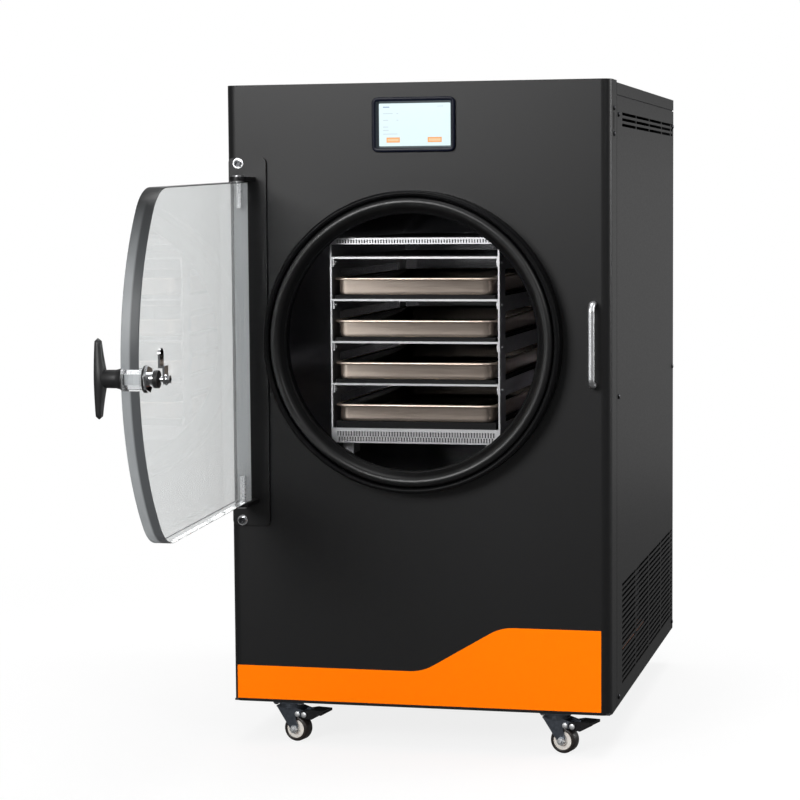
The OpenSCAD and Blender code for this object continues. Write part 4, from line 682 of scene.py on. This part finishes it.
# the pressed trays, in mm; floors are the heights of their bottoms from the chamber's axis
tray = {
    "wide": 252.0, "long": 484.0, "high": 26.5, "corner": 22.0, "leastCorner": 3.0, "rim": 7.0, "roll": 1.9,
    "floors": (70.0, 6.0, -58.0, -122.0), "front": -5.0,
    # the sheet's section: how far in from the rim's inner line, and the height from the floor
    "inside": [(8.0, 1.0), (3.2, 1.3), (1.9, 3.0), (1.2, 6.0)],
    "outside": [(-0.1, 6.0), (0.9, 2.2), (3.0, 0.2), (8.0, 0.0)],
    # the same, with the depth below the top
    "insideTop": [(0.9, 2.2), (-0.2, 0.5), (-1.6, 0.0)],
    "outsideTop": [(-1.8, 1.1), (-0.4, 2.6)],
    # the rolled edge: where it starts, its angles, and its tucked end as inset and depth below the top
    "rollFrom": 0.8, "rollAngles": (0, 30, 60, 90, 120, 150, 180, 215), "tuck": [(1.6, 2.8), (1.2, 1.2)],
}


# a rectangle with rounded corners, as a ring
def roundedRing(wide, long, r, steps=8):
    ring = []
    for cx, cy, start in ((1, -1, -90), (1, 1, 0), (-1, 1, 90), (-1, -1, 180)):
        for i in range(steps + 1):
            a = math.radians(start + 90 * i / steps)
            ring.append((cx * (wide / 2 - r) + r * math.cos(a), cy * (long / 2 - r) + r * math.sin(a)))
    return ring


def makeTray(number, floorZ):
    rimIn, roll, top = tray["rim"], tray["roll"], tray["high"]
    section = [(rimIn + inset, z) for inset, z in tray["inside"]]
    section += [(rimIn + inset, top - z) for inset, z in tray["insideTop"]]
    section += [(roll + tray["rollFrom"], top)]
    section += [(roll - roll * math.sin(math.radians(a)), top - roll + roll * math.cos(math.radians(a)))
                for a in tray["rollAngles"]]
    section += [(roll + inset, top - z) for inset, z in tray["tuck"]]
    section += [(rimIn + inset, top - z) for inset, z in tray["outsideTop"]]
    section += [(rimIn + inset, z) for inset, z in tray["outside"]]
    rings = []
    for inset, z in section:
        ring = roundedRing(tray["wide"] - 2 * inset, tray["long"] - 2 * inset,
                           max(tray["corner"] - inset, tray["leastCorner"]))
        rings.append([(x, y, z) for x, y in ring])
    points, faces = skin(rings, True, True)
    place = inCabinet @ Matrix.Translation((cabinet["chamberX"], tray["front"] + tray["long"] / 2,
                                            cabinet["chamberZ"] + floorZ))
    piece = newPiece("pressedTray%d" % number, points, faces, [traySteel, trayInsidePaintedShade], "cabinet", place,
                     sharp=50, stands=["tray_%d" % number])
    # the inner finish, with its painted shade, covers the inside's rings, up the wall, and the floor, which
    # is the first cap
    inner = (len(tray["inside"]) + 1) * len(rings[0])
    for i, face in enumerate(piece.data.polygons):
        face.material_index = 1 if i < inner or i == len(faces) - 2 else 0


for number, floorZ in enumerate(tray["floors"], 1):
    makeTray(number, floorZ)
print("trays made")


# the display, in mm: its middle from the cabinet's middle and bottom, depths from the panel's face
display = {
    "middle": (-1.5, 887.0), "size": (110.0, 64.0), "front": 6.0,
    "glass": 1.0, "glassCorner": 1.5, "glassRound": 0.2,
    "frame": (128.0, 82.0), "frameCorner": 9.0, "innerCorner": 1.2,
    # the frame's body behind the panel: width, height and corner, and the depths where it starts and ends
    "body": (115.0, 69.0, 2.0), "bodyDepths": (29.9, 0.3),
    # inset and depth: the rolled outer edge, the flat face and the wall that slopes in to the glass
    "section": [(0.0, 0.0), (0.0, -3.4), (0.35, -4.4), (1.1, -4.9), (1.9, -5.0), (5.2, -5.0), (5.9, -4.7),
                (6.2, -4.0), (8.9, 6.1), (12.0, 6.2)],
    "colour": "#e8fcff",
    # what stands out from the lit field: colour, by how much, and for each box its left end, its length,
    # how far down it starts, and its height
    "labels": {
        "displayLines": ("#cfdfe7", 0.05, [
            (6.3, 15.0, 14.6, 1.2), (6.3, 8.0, 24.6, 1.2), (6.3, 8.0, 34.6, 1.2), (6.3, 8.5, 39.6, 1.2),
            (6.3, 22.0, 45.2, 1.2), (27.0, 3.0, 14.6, 1.2), (27.0, 3.0, 24.6, 1.2), (90.0, 9.0, 4.6, 1.0)]),
        "displayTitle": ("#93a8c8", 0.05, [(6.3, 10.0, 4.8, 1.6)]),
        "displayButtons": ("#f8ab66", 0.08, [(11.5, 20.5, 51.0, 7.6), (75.0, 21.5, 51.0, 7.6)]),
    },
    "buttonFace": ("#fbd3a6", 0.12), "faceInset": (1.6, 1.9),  # a paler plate on each button
    "sunk": 0.2, "dimmest": 0.96,  # how far labels reach into the glass, and the grid's dimmest light
}


# a lit part of the liquid-crystal panel: its grid of 0.1 mm, drawn at 0.9 mm, varies the light a little
def litColour(name, colour):
    material = finish(name, "#050607", "#08090a", (0.12, 0.2), grain=0.9)
    tree = material.node_tree
    shader = tree.nodes["Principled BSDF"]
    noise = [n for n in tree.nodes if n.type == "TEX_NOISE"][0]
    dim = [c * display["dimmest"] for c in linear(colour)[:3]] + [1.0]
    glow = addNode(tree, "ShaderNodeMix", {0: noise.outputs[0], 6: dim, 7: linear(colour)}, data_type="RGBA")
    tree.links.new(glow.outputs[2], shader.inputs["Emission Color"])
    shader.inputs["Emission Strength"].default_value = 1.0
    return material


# upright flat boxes: left, right, low, high, front and back of each
def flatBoxes(boxes):
    points, faces = [], []
    for x0, x1, z0, z1, y0, y1 in boxes:
        start = len(points)
        points += [(x0, y0, z0), (x1, y0, z0), (x1, y0, z1), (x0, y0, z1),
                   (x0, y1, z0), (x1, y1, z0), (x1, y1, z1), (x0, y1, z1)]
        faces += [tuple(start + i for i in f) for f in
                  ((0, 1, 2, 3), (5, 4, 7, 6), (4, 0, 3, 7), (1, 5, 6, 2), (3, 2, 6, 7), (4, 5, 1, 0))]
    return points, faces


def makeLabels(name, colour, rise, boxes, place):
    w, h = display["size"]
    front = display["front"] - rise
    back = display["front"] + display["sunk"]
    points, faces = flatBoxes([(left - w / 2, left + long - w / 2, h / 2 - down - high, h / 2 - down,
                                front, back) for left, long, down, high in boxes])
    newPiece(name, points, faces, [litColour(name, colour)], "cabinet", place)


def makeDisplay():
    cx, cz = display["middle"]
    w, h = display["size"]
    y = display["front"]
    place = inCabinet @ Matrix.Translation((cx, 0, cz))
    rings = [[(x, depth, z) for x, z in roundedRing(*display["body"])] for depth in display["bodyDepths"]]
    frameW, frameH = display["frame"]
    for inset, depth in display["section"]:
        ring = roundedRing(frameW - 2 * inset, frameH - 2 * inset,
                           max(display["frameCorner"] - inset, display["innerCorner"]))
        rings.append([(x, depth, z) for x, z in ring])
    points, faces = skin(rings, True, True)
    newPiece("screenFrame", points, faces, [navyAbs], "cabinet", place, sharp=45, stands=["screen_bezel"])
    outline = roundedRing(w, h, display["glassCorner"], 3)
    points, faces = plate("displayGlass", [outline], y, y + display["glass"], display["glassRound"], 1)
    glass = litColour("litDisplay", display["colour"])
    newPiece("displayGlass", points, faces, [glass], "cabinet", place, stands=["screen_glass"])
    for name, (colour, rise, boxes) in display["labels"].items():
        makeLabels(name, colour, rise, boxes, place)
    inX, inZ = display["faceInset"]
    colour, rise = display["buttonFace"]
    boxes = [(left + inX, long - 2 * inX, down + inZ, high - 2 * inZ)
             for left, long, down, high in display["labels"]["displayButtons"][2]]
    makeLabels("displayButtonFaces", colour, rise, boxes, place)


makeDisplay()
print("display made")


# the casters, in mm: where they stand in the cabinet's frame, and the turn of their forks in degrees
caster = {
    "spots": {"fl": (-210.0, 28.0), "fr": (210.0, 28.0), "bl": (-210.0, 734.0), "br": (210.0, 734.0)},
    "turn": -13.0, "axle": (12.0, -44.0),  # the axle, behind the swivel's axis and below the cabinet
}


def atCaster(spot):
    return (inCabinet @ Matrix.Translation((spot[0], spot[1], 0))
            @ Matrix.Rotation(math.radians(caster["turn"]), 4, "Z"))


wheel = {
    "wide": 22.0, "sides": 64,
    # radius, how far past the wheel's side, and finish: 0 tread, 1 hub, 2 bearing
    "side": [(3.05, 0.6, 2), (5.8, 0.6, 2), (6.0, -2.6, 1), (8.2, -2.8, 1), (8.8, -1.2, 1), (13.4, -1.2, 1),
             (13.9, -1.9, 1), (14.4, -1.0, 0), (15.2, -0.2, 0), (16.5, 0.0, 0), (18.2, -0.5, 0),
             (19.3, -1.6, 0), (20.0, -3.4, 0)],
    "treadFlat": (20.0, 2.5),  # radius, and how far from the middle the flat tread reaches
}


def makeWheel(corner, spot):
    side = [(r, wheel["wide"] / 2 + past, kind) for r, past, kind in wheel["side"]]
    r, reach = wheel["treadFlat"]
    across = side + [(r, reach, 0), (r, -reach, 0)] + [(a, -b, kind) for a, b, kind in reversed(side)]
    points, faces = skin(turnedRings([(a, b) for a, b, kind in across], wheel["sides"]), loop=True)
    trail, down = caster["axle"]
    place = atCaster(spot) @ Matrix.Translation((trail, 0, down))
    piece = newPiece("casterWheel_" + corner, points, faces, [polyurethane, creamNylon, zinc],
                     "wheel_" + corner, place, sharp=40, stands=["caster_wheel_" + corner])
    for i, face in enumerate(piece.data.polygons):
        ring = i // wheel["sides"]
        face.material_index = max(across[ring][2], across[(ring + 1) % len(across)][2])


for corner, spot in caster["spots"].items():
    makeWheel(corner, spot)
print("wheels made")


# fastenings on both sides of a fork, in mm from its middle
fastening = {
    # the axle's hexagon head: across its corners, from where to where outwards, its edge as inset and depth
    "head": (12.6, 14.4, 19.2), "headEdge": [(0.0, 0.9), (1.0, 0.1), (2.0, 0.0)],
    "boltEnd": [(3.0, -0.2), (3.0, 1.2), (2.2, 1.8)], "boltSides": 16,  # radius, and how far past the head
    # x, z, across, and from where to where outwards
    "rivets": [(18.5, -19.5, 9.0, 16.3, 17.6), (31.0, -19.5, 9.0, 18.4, 19.6)],
    "rivetAngles": (0.0, 0.3, 0.6, 0.9, 1.2, 1.45), "rivetIn": 0.6, "rivetOut": 0.2, "rivetSides": 28,
    "braked": ("fl", "fr"),
}


# hexagon heads on the axle and, on the braked casters, two domed rivet heads
def makeFastenings(corner, spot):
    x, z = caster["axle"]
    across, low, high = fastening["head"]
    head = [(across / 2, low)] + [(across / 2 - inset, high - down) for inset, down in fastening["headEdge"]]
    bolt = [(r, high + out) for r, out in fastening["boltEnd"]]
    parts = [(x, z, head, 6), (x, z, bolt, fastening["boltSides"])]
    rivets = fastening["rivets"] if corner in fastening["braked"] else []
    for x, z, across, low, high in rivets:
        dome = [(across / 2 * math.cos(a), low + (high - low) * math.sin(a) + fastening["rivetOut"])
                for a in fastening["rivetAngles"]]
        parts.append((x, z, [(across / 2, low - fastening["rivetIn"])] + dome, fastening["rivetSides"]))
    points, faces = [], []
    for x, z, profile, sides in parts:
        for way in (-1, 1):
            rings = turnedRings([(r, way * y) for r, y in profile], sides, x, z)
            addMesh(points, faces, skin(rings, True, True), flip=way > 0)
    newPiece("forkFastenings_" + corner, points, faces, [blastedZinc], "swivel_" + corner, atCaster(spot),
             sharp=30)


for corner, spot in caster["spots"].items():
    makeFastenings(corner, spot)
print("caster fastenings made")
